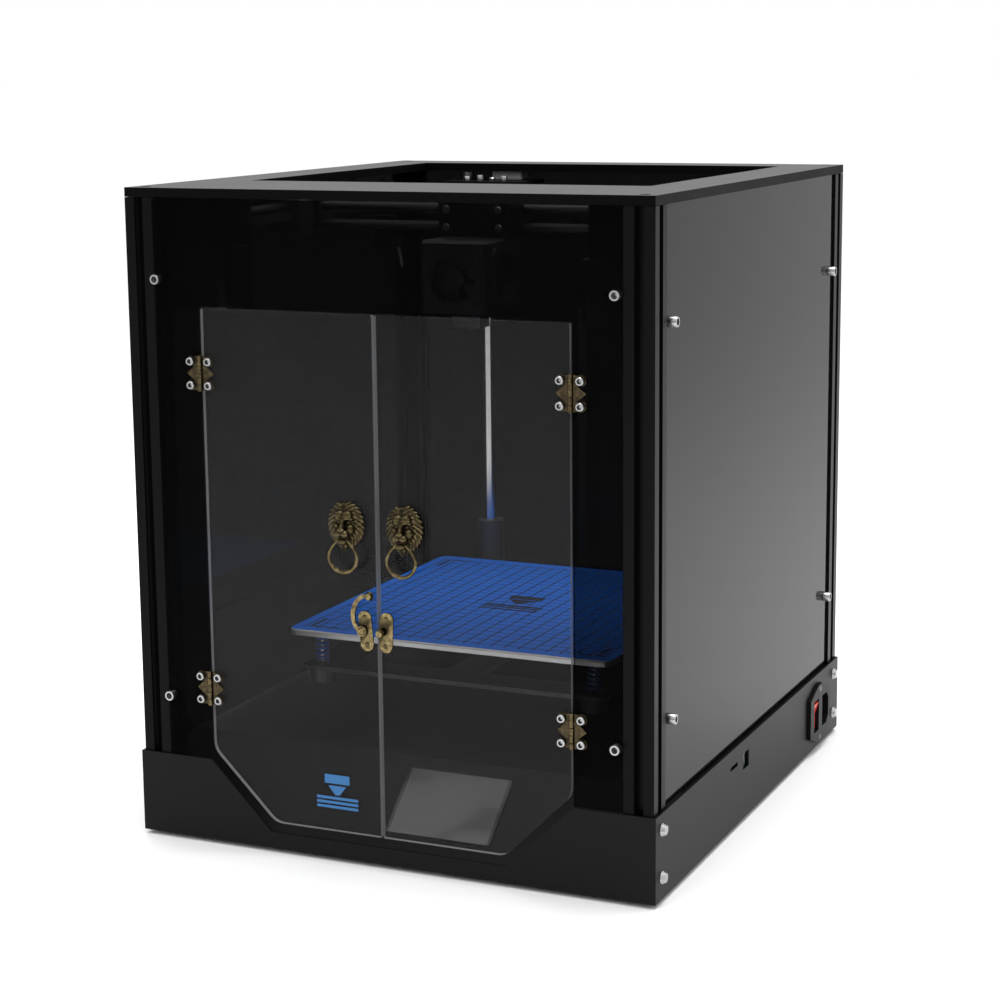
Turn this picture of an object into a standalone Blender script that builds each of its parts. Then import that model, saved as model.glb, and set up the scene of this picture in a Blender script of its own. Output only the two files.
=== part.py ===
"""An enclosed bench-top FDM printer: sheet-metal base and cap, four slotted posts, acrylic walls,
two hinged doors with brass hardware, a belt-driven X/Y gantry and a bed on a lead screw.

Every length is in metres. X is to the right as seen from the doors, Y runs to the back and Z is up.
Places are given from the middle of the frame at floor level. One root empty carries that middle,
so that the origin of the whole printer lies under the centre of its outer box.
"""

import math

import bmesh
import bpy
from mathutils import Matrix, Vector

MM = 0.001

# ---- driving dimensions -------------------------------------------------------------------------
BASE_W = 365 * MM
BASE_D = 405 * MM
BASE_H = 55 * MM
HEIGHT = 432 * MM
FOOT_H = 3 * MM
FOOT_R = 8 * MM
FOOT_INSET = 24 * MM
SHEET = 1.5 * MM
GAP = 0.3 * MM
POST = 20 * MM
SLOT_MOUTH = 6.2 * MM
SLOT_LIP = 1.8 * MM
SLOT_WIDE = 11 * MM
SLOT_DEPTH = 5.7 * MM
POST_BORE_R = 2.1 * MM
CAP_FLANGE = 6 * MM
CAP_BORDER_SIDE = 38 * MM
CAP_BORDER_FRONT = 95 * MM
CAP_BORDER_REAR = 36 * MM
CAP_HOLE_R = 3.6 * MM
PANEL = 3 * MM
PANEL_RECESS = 1.5 * MM
BOLT_HEAD_R = 4.75 * MM
BOLT_HEAD_H = 2.7 * MM
BOLT_Z = (14 * MM, 44.5 * MM)

# doors and their brass hardware
DOOR_HALF = 127 * MM
DOOR_SPLIT = -4 * MM
DOOR_TOP = HEIGHT - 76 * MM
DOOR_BOTTOM = 20 * MM
DOOR_CHAMFER = 45 * MM
DOOR_ROUND = 13 * MM
DOOR_GAP = 1.5 * MM
DOOR_CUTOUT_GAP = 6 * MM
HINGE_H = 24 * MM
HINGE_LEAF = 9.8 * MM
HINGE_EAR = 8.4 * MM
HINGE_SHEET = 0.8 * MM
HINGE_PIN_R = 1.5 * MM
HINGE_Z = (106.5 * MM, DOOR_TOP - 41.5 * MM)
PULL_OFFSET = 20.4 * MM
PULL_Z = 221.5 * MM
PULL_HALF_W = 13 * MM
PULL_HALF_H = 16 * MM
MANE_DEPTH = 4 * MM
FACE_DEPTH = 11 * MM
MOUTH_TOP = 6 * MM
MOUTH_BOTTOM = 12 * MM
RING_HALF_W = 10.2 * MM
RING_HALF_H = 10.8 * MM
RING_WIRE_R = 1.0 * MM
RING_OUT = 6.5 * MM
LATCH_Z = 156 * MM
LATCH_PLATE_H = 26 * MM
LATCH_PLATE_W = 9.2 * MM
LATCH_SHEET = 1.0 * MM
LATCH_SEAM_OFFSET = 8.2 * MM
LATCH_LEAN = 0.7 * MM
RIVET_SEAM_OFFSET = 10.5 * MM
KEEPER_SEAM_OFFSET = 6.1 * MM
KNOB_SEAM_OFFSET = 3 * MM
KEEPER_STEM_R = 1.3 * MM
KEEPER_KNOB_R = 2.8 * MM
ARM_SHEET = 1.5 * MM
ARM_SPAN = 23.6 * MM
ARM_RISE = 8.2 * MM
ARM_WIDTH = 2.8 * MM
ARM_RAISED = math.radians(78)
RIVET_R = 1.2 * MM

# deck, screen and electronics in the base
DECK_Z = 55 * MM
SLOPE = math.radians(40)
SLOPE_FOOT_Y = -197 * MM
SLOPE_FOOT_Z = 6 * MM
SCREEN_W = 74 * MM
SCREEN_H = 49 * MM
SCREEN_X = 27 * MM
SCREEN_UP_SLOPE = 42 * MM
SCREEN_BORDER = 5 * MM
SCREEN_BODY = 7 * MM
SCREEN_PROUD = 0.8 * MM
SUPPLY = (199 * MM, 98 * MM, 40 * MM)
SUPPLY_AT = (-50 * MM, 55 * MM)
BOARD = (112 * MM, 100 * MM, 1.6 * MM)
BOARD_Y = -20 * MM
BOARD_Z = 36 * MM
INLET_Y = 147 * MM
INLET_Z = 29 * MM
INLET_HALF_W = 25 * MM
INLET_HALF_H = 14.5 * MM
INLET_TIP = 22 * MM
INLET_FLANGE = 2.3 * MM
INLET_BODY = 24 * MM
SOCKET_Y = 13 * MM
SOCKET_W = 16.6 * MM
SOCKET_H = 23.6 * MM
SOCKET_DEPTH = 16 * MM
ROCKER_Y = -10 * MM
ROCKER_W = 11 * MM
ROCKER_HALF_H = 10 * MM
ROCKER_TILT = math.radians(8)
USB_Y = -25.5 * MM
USB_SIZE = (12.4 * MM, 11.4 * MM)
CARD_Y = -51 * MM
CARD_SIZE = (15 * MM, 2.8 * MM)

# X/Y drive
MOTOR = 42.3 * MM
MOTOR_H = 40 * MM
MOTOR_BEVEL = 4.2 * MM
MOTOR_CLEAR_WALL = 3 * MM
MOUNT_W = 36 * MM
MOUNT_D = 50 * MM
MOUNT_H = 38.2 * MM
MOUNT_SHEET = 2 * MM
MOUNT_WALL_GAP = 14.7 * MM
MOUNT_POST_GAP = 2.7 * MM
PULLEY_R = 6.1 * MM
PULLEY_FLANGE_R = 7.6 * MM
PULLEY_H = 15 * MM
SHAFT_R = 2.5 * MM
Y_ROD_R = 4 * MM
Y_ROD_INSET = 21 * MM
Y_ROD_Z = HEIGHT - 21 * MM
Y_ROD_REAR_GAP = 16 * MM
GANTRY_Y = -35 * MM
GANTRY_END = (28 * MM, 46 * MM, 24 * MM)
X_ROD_R = 3 * MM
X_ROD_Z = (HEIGHT - 33 * MM, HEIGHT - 20.5 * MM)
CARRIAGE = (52 * MM, 40 * MM, 24 * MM)
CARRIAGE_Z = X_ROD_Z[0] - 5 * MM
HEAD = (48 * MM, 54 * MM, 49.7 * MM)
HEAD_FRONT = 57 * MM
HEAD_WALL = 2 * MM
FAN_HOLE_R = 16 * MM
FAN_HUB_R = 7 * MM
FAN_DEPTH = 9 * MM
FAN_BLADES = 7
EXTRUDER = (42 * MM, 26 * MM, 41 * MM)
EXTRUDER_PLATE = (67 * MM, 38 * MM, 2 * MM)
EXTRUDER_TOP = HEIGHT - 13 * MM
EXTRUDER_X = -87 * MM
HEATER = (20 * MM, 16 * MM, 9.5 * MM)
NOZZLE_H = 3.5 * MM
RUNNING = 0.3 * MM

# bed and Z drive
BED_X = 5 * MM
BED_W = 235 * MM
BED_D = 245 * MM
BED_Y = -2 * MM
BED_TOP = 130 * MM
BED_ROUND = 6 * MM
SHEET_STEEL = 1.0 * MM
HEATER_PLATE = 3 * MM
SPRING_H = 22 * MM
CARRIER = 3 * MM
CARRIER_EDGE = 12 * MM
CARRIER_BAR = 26 * MM
Z_AXIS_X = -3 * MM
Z_AXIS_Y = 142 * MM
Z_ROD_SPREAD = 78 * MM
Z_ROD_R = 6 * MM
Z_ROD_TOP = HEIGHT - 47 * MM
BEARING_R = 10.5 * MM
BEARING_H = 57 * MM
SCREW_R = 4 * MM
SCREW_TOP = HEIGHT - 106 * MM
NUT_R = 11 * MM
NUT_H = 18 * MM
COUPLER_R = 9.5 * MM
COUPLER_H = 20 * MM
KNOB_R = 9.5 * MM
KNOB_H = 9 * MM
KNOB_INSET = 17 * MM

# ---- sizes that follow ----------------------------------------------------------------------------
FRAME_W = BASE_W - 2 * (SHEET + GAP)
FRAME_D = BASE_D - 2 * (SHEET + GAP)
BASE_TOP = FOOT_H + BASE_H
CAP_BOTTOM = HEIGHT - CAP_FLANGE
FRONT_FACE = -FRAME_D / 2
REACH_FRONT = -FRONT_FACE + GAP + FACE_DEPTH
FRAME_Y = (REACH_FRONT - BASE_D / 2) / 2
INNER_W = FRAME_W / 2 - POST
INNER_D = FRAME_D / 2 - POST
POST_BOTTOM = FOOT_H + SHEET + GAP
PIN_Y = FRONT_FACE - GAP - HINGE_PIN_R
PIN_X = DOOR_HALF + DOOR_GAP / 2
MOUNT_X = FRAME_W / 2 - MOUNT_WALL_GAP
Y_ROD_X = MOUNT_X - Y_ROD_INSET
MOUNT_FRONT = FRONT_FACE + POST + MOUNT_POST_GAP
MOUNT_TOP = HEIGHT - SHEET - GAP
MOUNT_BOTTOM = MOUNT_TOP - MOUNT_H
MOTOR_X = MOUNT_X - MOTOR / 2
MOTOR_Y = MOUNT_FRONT + MOTOR / 2
PLATE_TOP = BED_TOP - SHEET_STEEL - GAP
CARRIER_TOP = PLATE_TOP - HEATER_PLATE - SPRING_H
CARRIER_BOTTOM = CARRIER_TOP - CARRIER
KNOB_Y = (BED_Y - BED_D / 2 + KNOB_INSET, BED_Y + BED_D / 2 - KNOB_INSET)


# ---- scene and helpers ----------------------------------------------------------------------------
for old in list(bpy.data.objects):
    bpy.data.objects.remove(old, do_unlink=True)

PRINTER = bpy.data.collections.new("fdm_printer")
CUTTERS = bpy.data.collections.new("cutters")
for made in (PRINTER, CUTTERS):
    bpy.context.scene.collection.children.link(made)
CUTTERS.hide_render = True

ROOT = bpy.data.objects.new("printer_origin", None)
ROOT.location = (0, FRAME_Y, 0)
PRINTER.objects.link(ROOT)


def finish(name, colour, roughness, metallic=0.0, alpha=1.0):
    """A plain Principled material, made once for each name."""
    found = bpy.data.materials.get(name)
    if found:
        return found
    made = bpy.data.materials.new(name)
    made.use_nodes = True
    shader = made.node_tree.nodes["Principled BSDF"]
    shader.inputs["Base Color"].default_value = (*colour, 1)
    shader.inputs["Roughness"].default_value = roughness
    shader.inputs["Metallic"].default_value = metallic
    shader.inputs["Alpha"].default_value = alpha
    return made


def black_sheet():
    return finish("black_powder_coat", (0.022, 0.022, 0.023), 0.55)


def black_aluminium():
    return finish("black_anodised", (0.02, 0.02, 0.021), 0.32, 0.7)


def smoked_acrylic():
    return finish("smoked_acrylic", (0.03, 0.03, 0.032), 0.05, alpha=0.35)


def dark_acrylic():
    return finish("dark_acrylic", (0.06, 0.06, 0.063), 0.08)


def antique_brass():
    return finish("antique_brass", (0.23, 0.17, 0.07), 0.35, 0.9)


def black_plastic():
    return finish("black_plastic", (0.02, 0.02, 0.02), 0.45)


def rubber():
    return finish("rubber", (0.015, 0.015, 0.015), 0.8)


def polished_steel():
    return finish("polished_steel", (0.62, 0.62, 0.63), 0.18, 1.0)


def raw_aluminium():
    return finish("raw_aluminium", (0.6, 0.6, 0.61), 0.35, 1.0)


def brass():
    return finish("brass", (0.62, 0.45, 0.2), 0.3, 1.0)


def blue_sheet():
    return finish("blue_print_surface", (0.02, 0.08, 0.32), 0.6)


def red_plastic():
    return finish("red_plastic", (0.6, 0.03, 0.02), 0.3)


def board_green():
    return finish("circuit_board", (0.01, 0.08, 0.04), 0.5)


def link(obj, paint, parent):
    """Puts an object among the printer's parts, or among the cutters when it has no paint."""
    if paint is None:
        CUTTERS.objects.link(obj)
        obj.hide_render = True
        obj.display_type = "WIRE"
    else:
        PRINTER.objects.link(obj)
        obj.data.materials.append(paint)
    obj.parent = parent or ROOT
    if parent:
        obj.matrix_parent_inverse = Matrix.Translation(-parent.location)
    return obj


def solid(name, shape, paint, parent=None):
    """An object from a finished bmesh whose faces are made to point outwards."""
    bmesh.ops.recalc_face_normals(shape, faces=shape.faces)
    mesh = bpy.data.meshes.new(name)
    shape.to_mesh(mesh)
    shape.free()
    return link(bpy.data.objects.new(name, mesh), paint, parent)


def block(name, low, high, paint=None, parent=None, bevel=0.0):
    """A box between two corners."""
    low, high = Vector(low), Vector(high)
    shape = bmesh.new()
    bmesh.ops.create_cube(shape, size=1)
    bmesh.ops.scale(shape, vec=high - low, verts=shape.verts)
    bmesh.ops.translate(shape, vec=(low + high) / 2, verts=shape.verts)
    made = solid(name, shape, paint, parent)
    if bevel:
        round_edges(made, bevel)
    return made


def round_edges(obj, width, segments=1, angle=30):
    edge = obj.modifiers.new("rounded", "BEVEL")
    edge.width = width
    edge.segments = segments
    edge.limit_method = "ANGLE"
    edge.angle_limit = math.radians(angle)


def turn_to(axis):
    return Vector((0, 0, 1)).rotation_difference(Vector(axis)).to_matrix().to_4x4()


def rod(name, start, end, radius, paint=None, parent=None, sides=20, end_radius=None):
    """A cylinder or cone from one point to another."""
    start, end = Vector(start), Vector(end)
    shape = bmesh.new()
    bmesh.ops.create_cone(
        shape,
        cap_ends=True,
        segments=sides,
        radius1=radius,
        radius2=radius if end_radius is None else end_radius,
        depth=(end - start).length,
        matrix=Matrix.Translation((start + end) / 2) @ turn_to(end - start),
    )
    made = solid(name, shape, paint, parent)
    made.data.shade_smooth()
    made.data.set_sharp_from_angle(angle=math.radians(40))
    return made


PLANES = {
    "XY": Matrix.Identity(4),
    "XZ": Matrix(((1, 0, 0, 0), (0, 0, 1, 0), (0, 1, 0, 0), (0, 0, 0, 1))),
    "YZ": Matrix(((0, 0, 1, 0), (1, 0, 0, 0), (0, 1, 0, 0), (0, 0, 0, 1))),
}


def plate(name, loops, plane, start, end, paint=None, parent=None):
    """A flat outline, with any holes, thickened from start to end along the axis that its plane leaves."""
    curve = bpy.data.curves.new(name, "CURVE")
    curve.dimensions = "2D"
    curve.fill_mode = "BOTH"
    curve.extrude = abs(end - start) / 2
    for loop in loops:
        spline = curve.splines.new("POLY")
        spline.points.add(len(loop) - 1)
        for point, (u, v) in zip(spline.points, loop):
            point.co = (u, v, 0, 1)
        spline.use_cyclic_u = True
    drawn = bpy.data.objects.new(name + "_outline", curve)
    CUTTERS.objects.link(drawn)
    bpy.context.view_layer.update()
    graph = bpy.context.evaluated_depsgraph_get()
    mesh = bpy.data.meshes.new_from_object(drawn.evaluated_get(graph))
    bpy.data.objects.remove(drawn)
    shape = bmesh.new()
    shape.from_mesh(mesh)
    bpy.data.meshes.remove(mesh)
    bmesh.ops.remove_doubles(shape, verts=shape.verts, dist=1e-6)
    bmesh.ops.translate(shape, vec=(0, 0, (start + end) / 2), verts=shape.verts)
    bmesh.ops.transform(shape, matrix=PLANES[plane], verts=shape.verts)
    return solid(name, shape, paint, parent)


def arc(centre, radius, first, last, steps):
    """Points along an arc, angles in radians."""
    turn = (last - first) / steps
    return [
        (
            centre[0] + radius * math.cos(first + turn * i),
            centre[1] + radius * math.sin(first + turn * i),
        )
        for i in range(steps + 1)
    ]


def rounded(corners, steps=4):
    """An outline whose corners (u, v, radius) are turned into arcs."""
    points = []
    for i, (u, v, radius) in enumerate(corners):
        here = Vector((u, v))
        before = Vector(corners[i - 1][:2]) - here
        after = Vector(corners[(i + 1) % len(corners)][:2]) - here
        if radius <= 0:
            points.append((u, v))
            continue
        half = before.angle(after) / 2
        middle = here + (before.normalized() + after.normalized()).normalized() * (
            radius / math.sin(half)
        )
        first = here + before.normalized() * (radius / math.tan(half)) - middle
        last = here + after.normalized() * (radius / math.tan(half)) - middle
        swing = first.angle_signed(last)
        a = math.atan2(first.y, first.x)
        points += arc(middle, radius, a, a - swing, steps)
    return points


def rectangle(low_u, low_v, high_u, high_v, radius=0.0):
    corners = ((low_u, low_v), (high_u, low_v), (high_u, high_v), (low_u, high_v))
    return rounded([(u, v, radius) for u, v in corners])


def boolean(obj, other, operation):
    modifier = obj.modifiers.new(operation.lower(), "BOOLEAN")
    modifier.operation = operation
    modifier.object = other


def cut(obj, *cutters):
    for other in cutters:
        boolean(obj, other, "DIFFERENCE")
    return obj


def join(obj, *others):
    for other in others:
        boolean(obj, other, "UNION")
    return obj


def pivot(name, location):
    """An empty on a joint's axis, which carries what turns or slides there."""
    empty = bpy.data.objects.new(name, None)
    empty.location = location
    empty.parent = ROOT
    PRINTER.objects.link(empty)
    return empty


def sides():
    return (("left", -1), ("right", 1))


# ---- base -----------------------------------------------------------------------------------------
def door_edge(side, grow):
    """The outline of one door's free corners, grown outwards: chamfer foot and chamfer top."""
    slope_shift = grow * (math.sqrt(2) - 1)
    foot = (side * (DOOR_HALF - DOOR_CHAMFER + slope_shift), DOOR_BOTTOM - grow)
    top = (side * (DOOR_HALF + grow), DOOR_BOTTOM + DOOR_CHAMFER - slope_shift)
    return foot, top


def base_tray():
    """Folded sheet tray with a cut-out for the doors and ports in its right wall."""
    half_w, half_d = BASE_W / 2, BASE_D / 2
    tray = block(
        "base_tray", (-half_w, -half_d, FOOT_H), (half_w, half_d, BASE_TOP), black_sheet()
    )
    hollow = block(
        "tray_hollow",
        (SHEET - half_w, SHEET - half_d, FOOT_H + SHEET),
        (half_w - SHEET, half_d - SHEET, BASE_TOP + POST),
    )
    left_foot, left_top = door_edge(-1, DOOR_CUTOUT_GAP)
    right_foot, right_top = door_edge(1, DOOR_CUTOUT_GAP)
    outline = [left_foot, right_foot, right_top, left_top]
    doorway = plate("tray_doorway", [outline], "XZ", -half_d - POST, FRONT_FACE + POST)
    right_wall = ((half_w - POST, half_w + POST),)
    ports = [
        (INLET_Y, INLET_Z, 2 * INLET_HALF_W - 3.4 * MM, 2 * INLET_HALF_H - 1.4 * MM),
        (USB_Y, BOARD_Z + BOARD[2] + USB_SIZE[1] / 2, *USB_SIZE),
        (CARD_Y, BOARD_Z + BOARD[2] + 8 * MM, *CARD_SIZE),
    ]
    holes = [
        block(
            f"tray_port_{i}",
            (right_wall[0][0], y - w / 2, z - h / 2),
            (right_wall[0][1], y + w / 2, z + h / 2),
        )
        for i, (y, z, w, h) in enumerate(ports)
    ]
    heads = []
    for word, side in sides():
        for y in (-1, 1):
            for z in BOLT_Z:
                at = Vector((side * half_w, y * (FRAME_D / 2 - POST / 2), FOOT_H + z))
                out = Vector((side * BOLT_HEAD_H, 0, 0))
                heads.append(
                    rod(f"bolt_{word}", at - out * 0.3, at + out, BOLT_HEAD_R, sides=16,
                        end_radius=BOLT_HEAD_R * 0.62)
                )
    cut(tray, hollow, doorway, *holes)
    return join(tray, *heads)


def feet():
    x, y = BASE_W / 2 - FOOT_INSET, BASE_D / 2 - FOOT_INSET
    for row, sy in (("front", -1), ("rear", 1)):
        for word, sx in sides():
            at = Vector((sx * x, sy * y, 0))
            top = at + Vector((0, 0, FOOT_H - GAP))
            rod(f"foot_{row}_{word}", at, top, FOOT_R * 0.92, rubber(), end_radius=FOOT_R)


def deck():
    """The chamber's floor, folded down at the front into the sloping screen panel."""
    thick = SHEET
    fold_y = SLOPE_FOOT_Y + (DECK_Z - SLOPE_FOOT_Z) / math.tan(SLOPE)
    rear_y = BASE_D / 2 - SHEET - GAP
    lean = Vector((-math.sin(SLOPE), math.cos(SLOPE))) * thick
    profile = [
        (SLOPE_FOOT_Y, SLOPE_FOOT_Z),
        (fold_y, DECK_Z),
        (rear_y, DECK_Z),
        (rear_y, DECK_Z + thick),
        (fold_y - thick * math.tan(SLOPE / 2), DECK_Z + thick),
        (SLOPE_FOOT_Y + lean.x, SLOPE_FOOT_Z + lean.y),
    ]
    half = BASE_W / 2 - SHEET - GAP
    made = plate("deck", [profile], "YZ", -half, half, black_sheet())
    reach = POST + 2 * GAP
    notches = [
        block(
            f"deck_notch_{sx}_{sy}",
            (min(sx * (half + POST), sx * (FRAME_W / 2 - reach)),
             min(sy * (rear_y + POST), sy * (FRAME_D / 2 - reach)), 0),
            (max(sx * (half + POST), sx * (FRAME_W / 2 - reach)),
             max(sy * (rear_y + POST), sy * (FRAME_D / 2 - reach)), BASE_TOP),
        )
        for sx in (-1, 1)
        for sy in (-1, 1)
    ]
    coupler = rod(
        "deck_coupler_hole",
        (Z_AXIS_X, Z_AXIS_Y, DECK_Z - POST),
        (Z_AXIS_X, Z_AXIS_Y, DECK_Z + POST),
        COUPLER_R + 2 * MM,
    )
    window = slope_block(
        "deck_window", SCREEN_W / 2 + GAP, SCREEN_H / 2 + GAP, -POST / 4, POST / 4
    )
    return cut(made, *notches, coupler, window)


def slope_block(name, half_w, half_h, inner, outer, paint=None):
    """A box lying on the screen panel, centred on the screen, from inner to outer along its normal."""
    shape = bmesh.new()
    bmesh.ops.create_cube(shape, size=1)
    bmesh.ops.scale(shape, vec=(2 * half_w, 2 * half_h, outer - inner), verts=shape.verts)
    bmesh.ops.translate(shape, vec=(0, 0, (inner + outer) / 2), verts=shape.verts)
    foot = Vector((SCREEN_X, SLOPE_FOOT_Y, SLOPE_FOOT_Z))
    up_slope = Vector((0, math.cos(SLOPE), math.sin(SLOPE))) * SCREEN_UP_SLOPE
    place = Matrix.Translation(foot + up_slope) @ Matrix.Rotation(SLOPE, 4, "X")
    bmesh.ops.transform(shape, matrix=place, verts=shape.verts)
    return solid(name, shape, paint)


def touchscreen():
    """Display module: a glass face through the panel's window and a wider body behind it."""
    glass = slope_block(
        "touchscreen", SCREEN_W / 2, SCREEN_H / 2, -SCREEN_BODY / 2, SHEET + SCREEN_PROUD,
        black_plastic(),
    )
    body = slope_block(
        "screen_body",
        SCREEN_W / 2 + SCREEN_BORDER,
        SCREEN_H / 2 + SCREEN_BORDER / 2,
        -SCREEN_BODY,
        -GAP,
    )
    return join(glass, body)


def power_supply():
    (w, d, h), (x, y) = SUPPLY, SUPPLY_AT
    low = (x - w / 2, y - d / 2, FOOT_H + SHEET + GAP)
    high = (x + w / 2, y + d / 2, FOOT_H + SHEET + GAP + h)
    return block("power_supply", low, high, raw_aluminium(), bevel=1 * MM)


def mainboard():
    """Control board against the right wall, with its USB socket, card reader and driver heat sinks."""
    edge = BASE_W / 2 - SHEET - GAP - 1 * MM
    top = BOARD_Z + BOARD[2]
    low_y = BOARD_Y - BOARD[1] / 2
    board = block("mainboard", (edge - BOARD[0], low_y, BOARD_Z),
                  (edge, low_y + BOARD[1], top), board_green())
    sunk = 0.3 * MM
    usb = block("usb_socket", (edge - 16 * MM, USB_Y - 6 * MM, top - sunk),
                (edge, USB_Y + 6 * MM, top + 10.8 * MM))
    card = block("card_reader", (edge - 15 * MM, CARD_Y - 7 * MM, top - sunk),
                 (edge - 1 * MM, CARD_Y + 7 * MM, top + 9 * MM))
    sinks = [
        block(
            f"driver_{i}",
            (edge - 90 * MM, low_y + (10 + 20 * i) * MM, top - sunk),
            (edge - 76 * MM, low_y + (22 + 20 * i) * MM, top + 13 * MM),
        )
        for i in range(4)
    ]
    join(board, usb, card, *sinks)
    plug = block("usb_plug_space", (edge - 10 * MM, USB_Y - 4.4 * MM, top + 1.3 * MM),
                 (edge + POST, USB_Y + 4.4 * MM, top + 9.3 * MM))
    return cut(board, plug)


def mains_inlet():
    """Socket and switch module: flange with pointed screw ears, and a body through the wall."""
    wall = BASE_W / 2
    corners = [
        (-INLET_HALF_W, -INLET_HALF_H), (-5 * MM, -INLET_TIP), (5 * MM, -INLET_TIP),
        (INLET_HALF_W, -INLET_HALF_H), (INLET_HALF_W, INLET_HALF_H), (5 * MM, INLET_TIP),
        (-5 * MM, INLET_TIP), (-INLET_HALF_W, INLET_HALF_H),
    ]
    outline = [(INLET_Y + y, INLET_Z + z) for y, z in corners]
    flange = plate("mains_inlet", [outline], "YZ", wall + GAP, wall + GAP + INLET_FLANGE,
                   black_plastic())
    body_w, body_h = INLET_HALF_W - 2 * MM, INLET_HALF_H - 1 * MM
    body = block(
        "inlet_body",
        (wall - INLET_BODY, INLET_Y - body_w, INLET_Z - body_h),
        (wall + GAP + INLET_FLANGE / 2, INLET_Y + body_w, INLET_Z + body_h),
    )
    socket_w, socket_h, cut_off = SOCKET_W / 2, SOCKET_H / 2, 5 * MM
    socket_loop = [
        (-socket_w, -socket_h), (socket_w - cut_off, -socket_h), (socket_w, cut_off - socket_h),
        (socket_w, socket_h - cut_off), (socket_w - cut_off, socket_h), (-socket_w, socket_h),
    ]
    socket_at = [(INLET_Y + SOCKET_Y + y, INLET_Z + z) for y, z in socket_loop]
    socket = plate("inlet_socket", [socket_at], "YZ", wall - SOCKET_DEPTH, wall + POST)
    well_w, well_h = ROCKER_W / 2 + 2 * GAP, ROCKER_HALF_H + 2 * MM
    well = block(
        "inlet_rocker_well",
        (wall - 9 * MM, INLET_Y + ROCKER_Y - well_w, INLET_Z - well_h),
        (wall + POST, INLET_Y + ROCKER_Y + well_w, INLET_Z + well_h),
    )
    join(flange, body)
    return cut(flange, socket, well)


def rocker_switch():
    axis = Vector((BASE_W / 2 - 2 * MM, INLET_Y + ROCKER_Y, INLET_Z))
    hold = pivot("rocker_pivot", axis)
    h = ROCKER_HALF_H
    profile = [(-4 * MM, -h + 1 * MM), (3.2 * MM, -h), (1.6 * MM, 0), (3.2 * MM, h),
               (-4 * MM, h - 1 * MM)]
    tilt = Matrix.Rotation(-ROCKER_TILT, 2)
    points = [tilt @ Vector(p) for p in profile]
    loop = [(axis.x + p.x, axis.z + p.y) for p in points]
    y = axis.y
    return plate("rocker_switch", [loop], "XZ", y - ROCKER_W / 2, y + ROCKER_W / 2,
                 red_plastic(), hold)


# ---- frame ----------------------------------------------------------------------------------------
def post_outline():
    """One side of the T-slot, turned round to all four sides."""
    half, mouth, wide = POST / 2, SLOT_MOUTH / 2, SLOT_WIDE / 2
    lip, floor = half - SLOT_LIP, half - SLOT_DEPTH
    left = [(-half, half), (-mouth, half), (-mouth, lip), (-wide, lip),
            (-wide, lip - 1.3 * MM), (-mouth + 0.2 * MM, floor)]
    side = left + [(-u, v) for u, v in reversed(left[1:])]
    loop = []
    for quarter in range(4):
        turn = Matrix.Rotation(-quarter * math.pi / 2, 2)
        loop += [tuple(turn @ Vector(p)) for p in side]
    return loop


def posts():
    x, y = (FRAME_W - POST) / 2, (FRAME_D - POST) / 2
    for row, sy in (("front", -1), ("rear", 1)):
        for word, sx in sides():
            loop = [(sx * x + u, sy * y + v) for u, v in post_outline()]
            bore = arc((sx * x, sy * y), POST_BORE_R, 0, 2 * math.pi * 7 / 8, 7)
            plate(f"post_{row}_{word}", [loop, bore], "XY", POST_BOTTOM, CAP_BOTTOM - GAP,
                  black_aluminium())


def top_cap():
    """Folded ring: a top sheet with a flange round the outside and round the opening."""
    half_w, half_d = FRAME_W / 2, FRAME_D / 2
    low = Vector((-half_w + CAP_BORDER_SIDE, -half_d + CAP_BORDER_FRONT, 0))
    high = Vector((half_w - CAP_BORDER_SIDE, half_d - CAP_BORDER_REAR, 0))
    outer = rectangle(-half_w, -half_d, half_w, half_d)
    opening = rectangle(low.x, low.y, high.x, high.y)
    holes = [
        arc((sx * (half_w - POST / 2), sy * (half_d - POST / 2)), CAP_HOLE_R, 0,
            2 * math.pi * 11 / 12, 11)
        for sx in (-1, 1)
        for sy in (-1, 1)
    ]
    cap = plate("top_cap", [outer, opening, *holes], "XY", CAP_BOTTOM, HEIGHT, black_sheet())
    channel = plate(
        "cap_channel",
        [
            rectangle(SHEET - half_w, SHEET - half_d, half_w - SHEET, half_d - SHEET),
            rectangle(low.x - SHEET, low.y - SHEET, high.x + SHEET, high.y + SHEET),
        ],
        "XY", CAP_BOTTOM - POST, HEIGHT - SHEET,
    )
    return cut(cap, channel)


def walls():
    """Fixed acrylic panels between the posts."""
    low_z, high_z = BASE_TOP + GAP, CAP_BOTTOM - GAP
    x, y = INNER_W - GAP, INNER_D - GAP
    for word, side in sides():
        face = side * (FRAME_W / 2 - PANEL_RECESS)
        back = face - side * PANEL
        block(f"side_panel_{word}", (min(face, back), -y, low_z), (max(face, back), y, high_z),
              dark_acrylic())
    face = FRAME_D / 2 - PANEL_RECESS
    block("rear_panel", (-x, face - PANEL, low_z), (x, face, high_z), dark_acrylic())
    open_x, open_z = DOOR_HALF + DOOR_GAP, DOOR_TOP + DOOR_GAP
    outline = [(-x, low_z), (-open_x, low_z), (-open_x, open_z), (open_x, open_z),
               (open_x, low_z), (x, low_z), (x, high_z), (-x, high_z)]
    plate("front_panel", [outline], "XZ", FRONT_FACE, FRONT_FACE + PANEL, dark_acrylic())


# ---- doors and brass hardware ---------------------------------------------------------------------
def door(word, side, hold):
    seam = DOOR_SPLIT + side * DOOR_GAP / 2
    edge = side * DOOR_HALF
    corners = [
        (seam, DOOR_TOP, 1 * MM), (edge, DOOR_TOP, 1 * MM),
        (edge, DOOR_BOTTOM + DOOR_CHAMFER, DOOR_ROUND),
        (edge - side * DOOR_CHAMFER, DOOR_BOTTOM, DOOR_ROUND), (seam, DOOR_BOTTOM, 1 * MM),
    ]
    return plate(f"door_{word}", [rounded(corners)], "XZ", FRONT_FACE, FRONT_FACE + PANEL,
                 smoked_acrylic(), hold)


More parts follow.
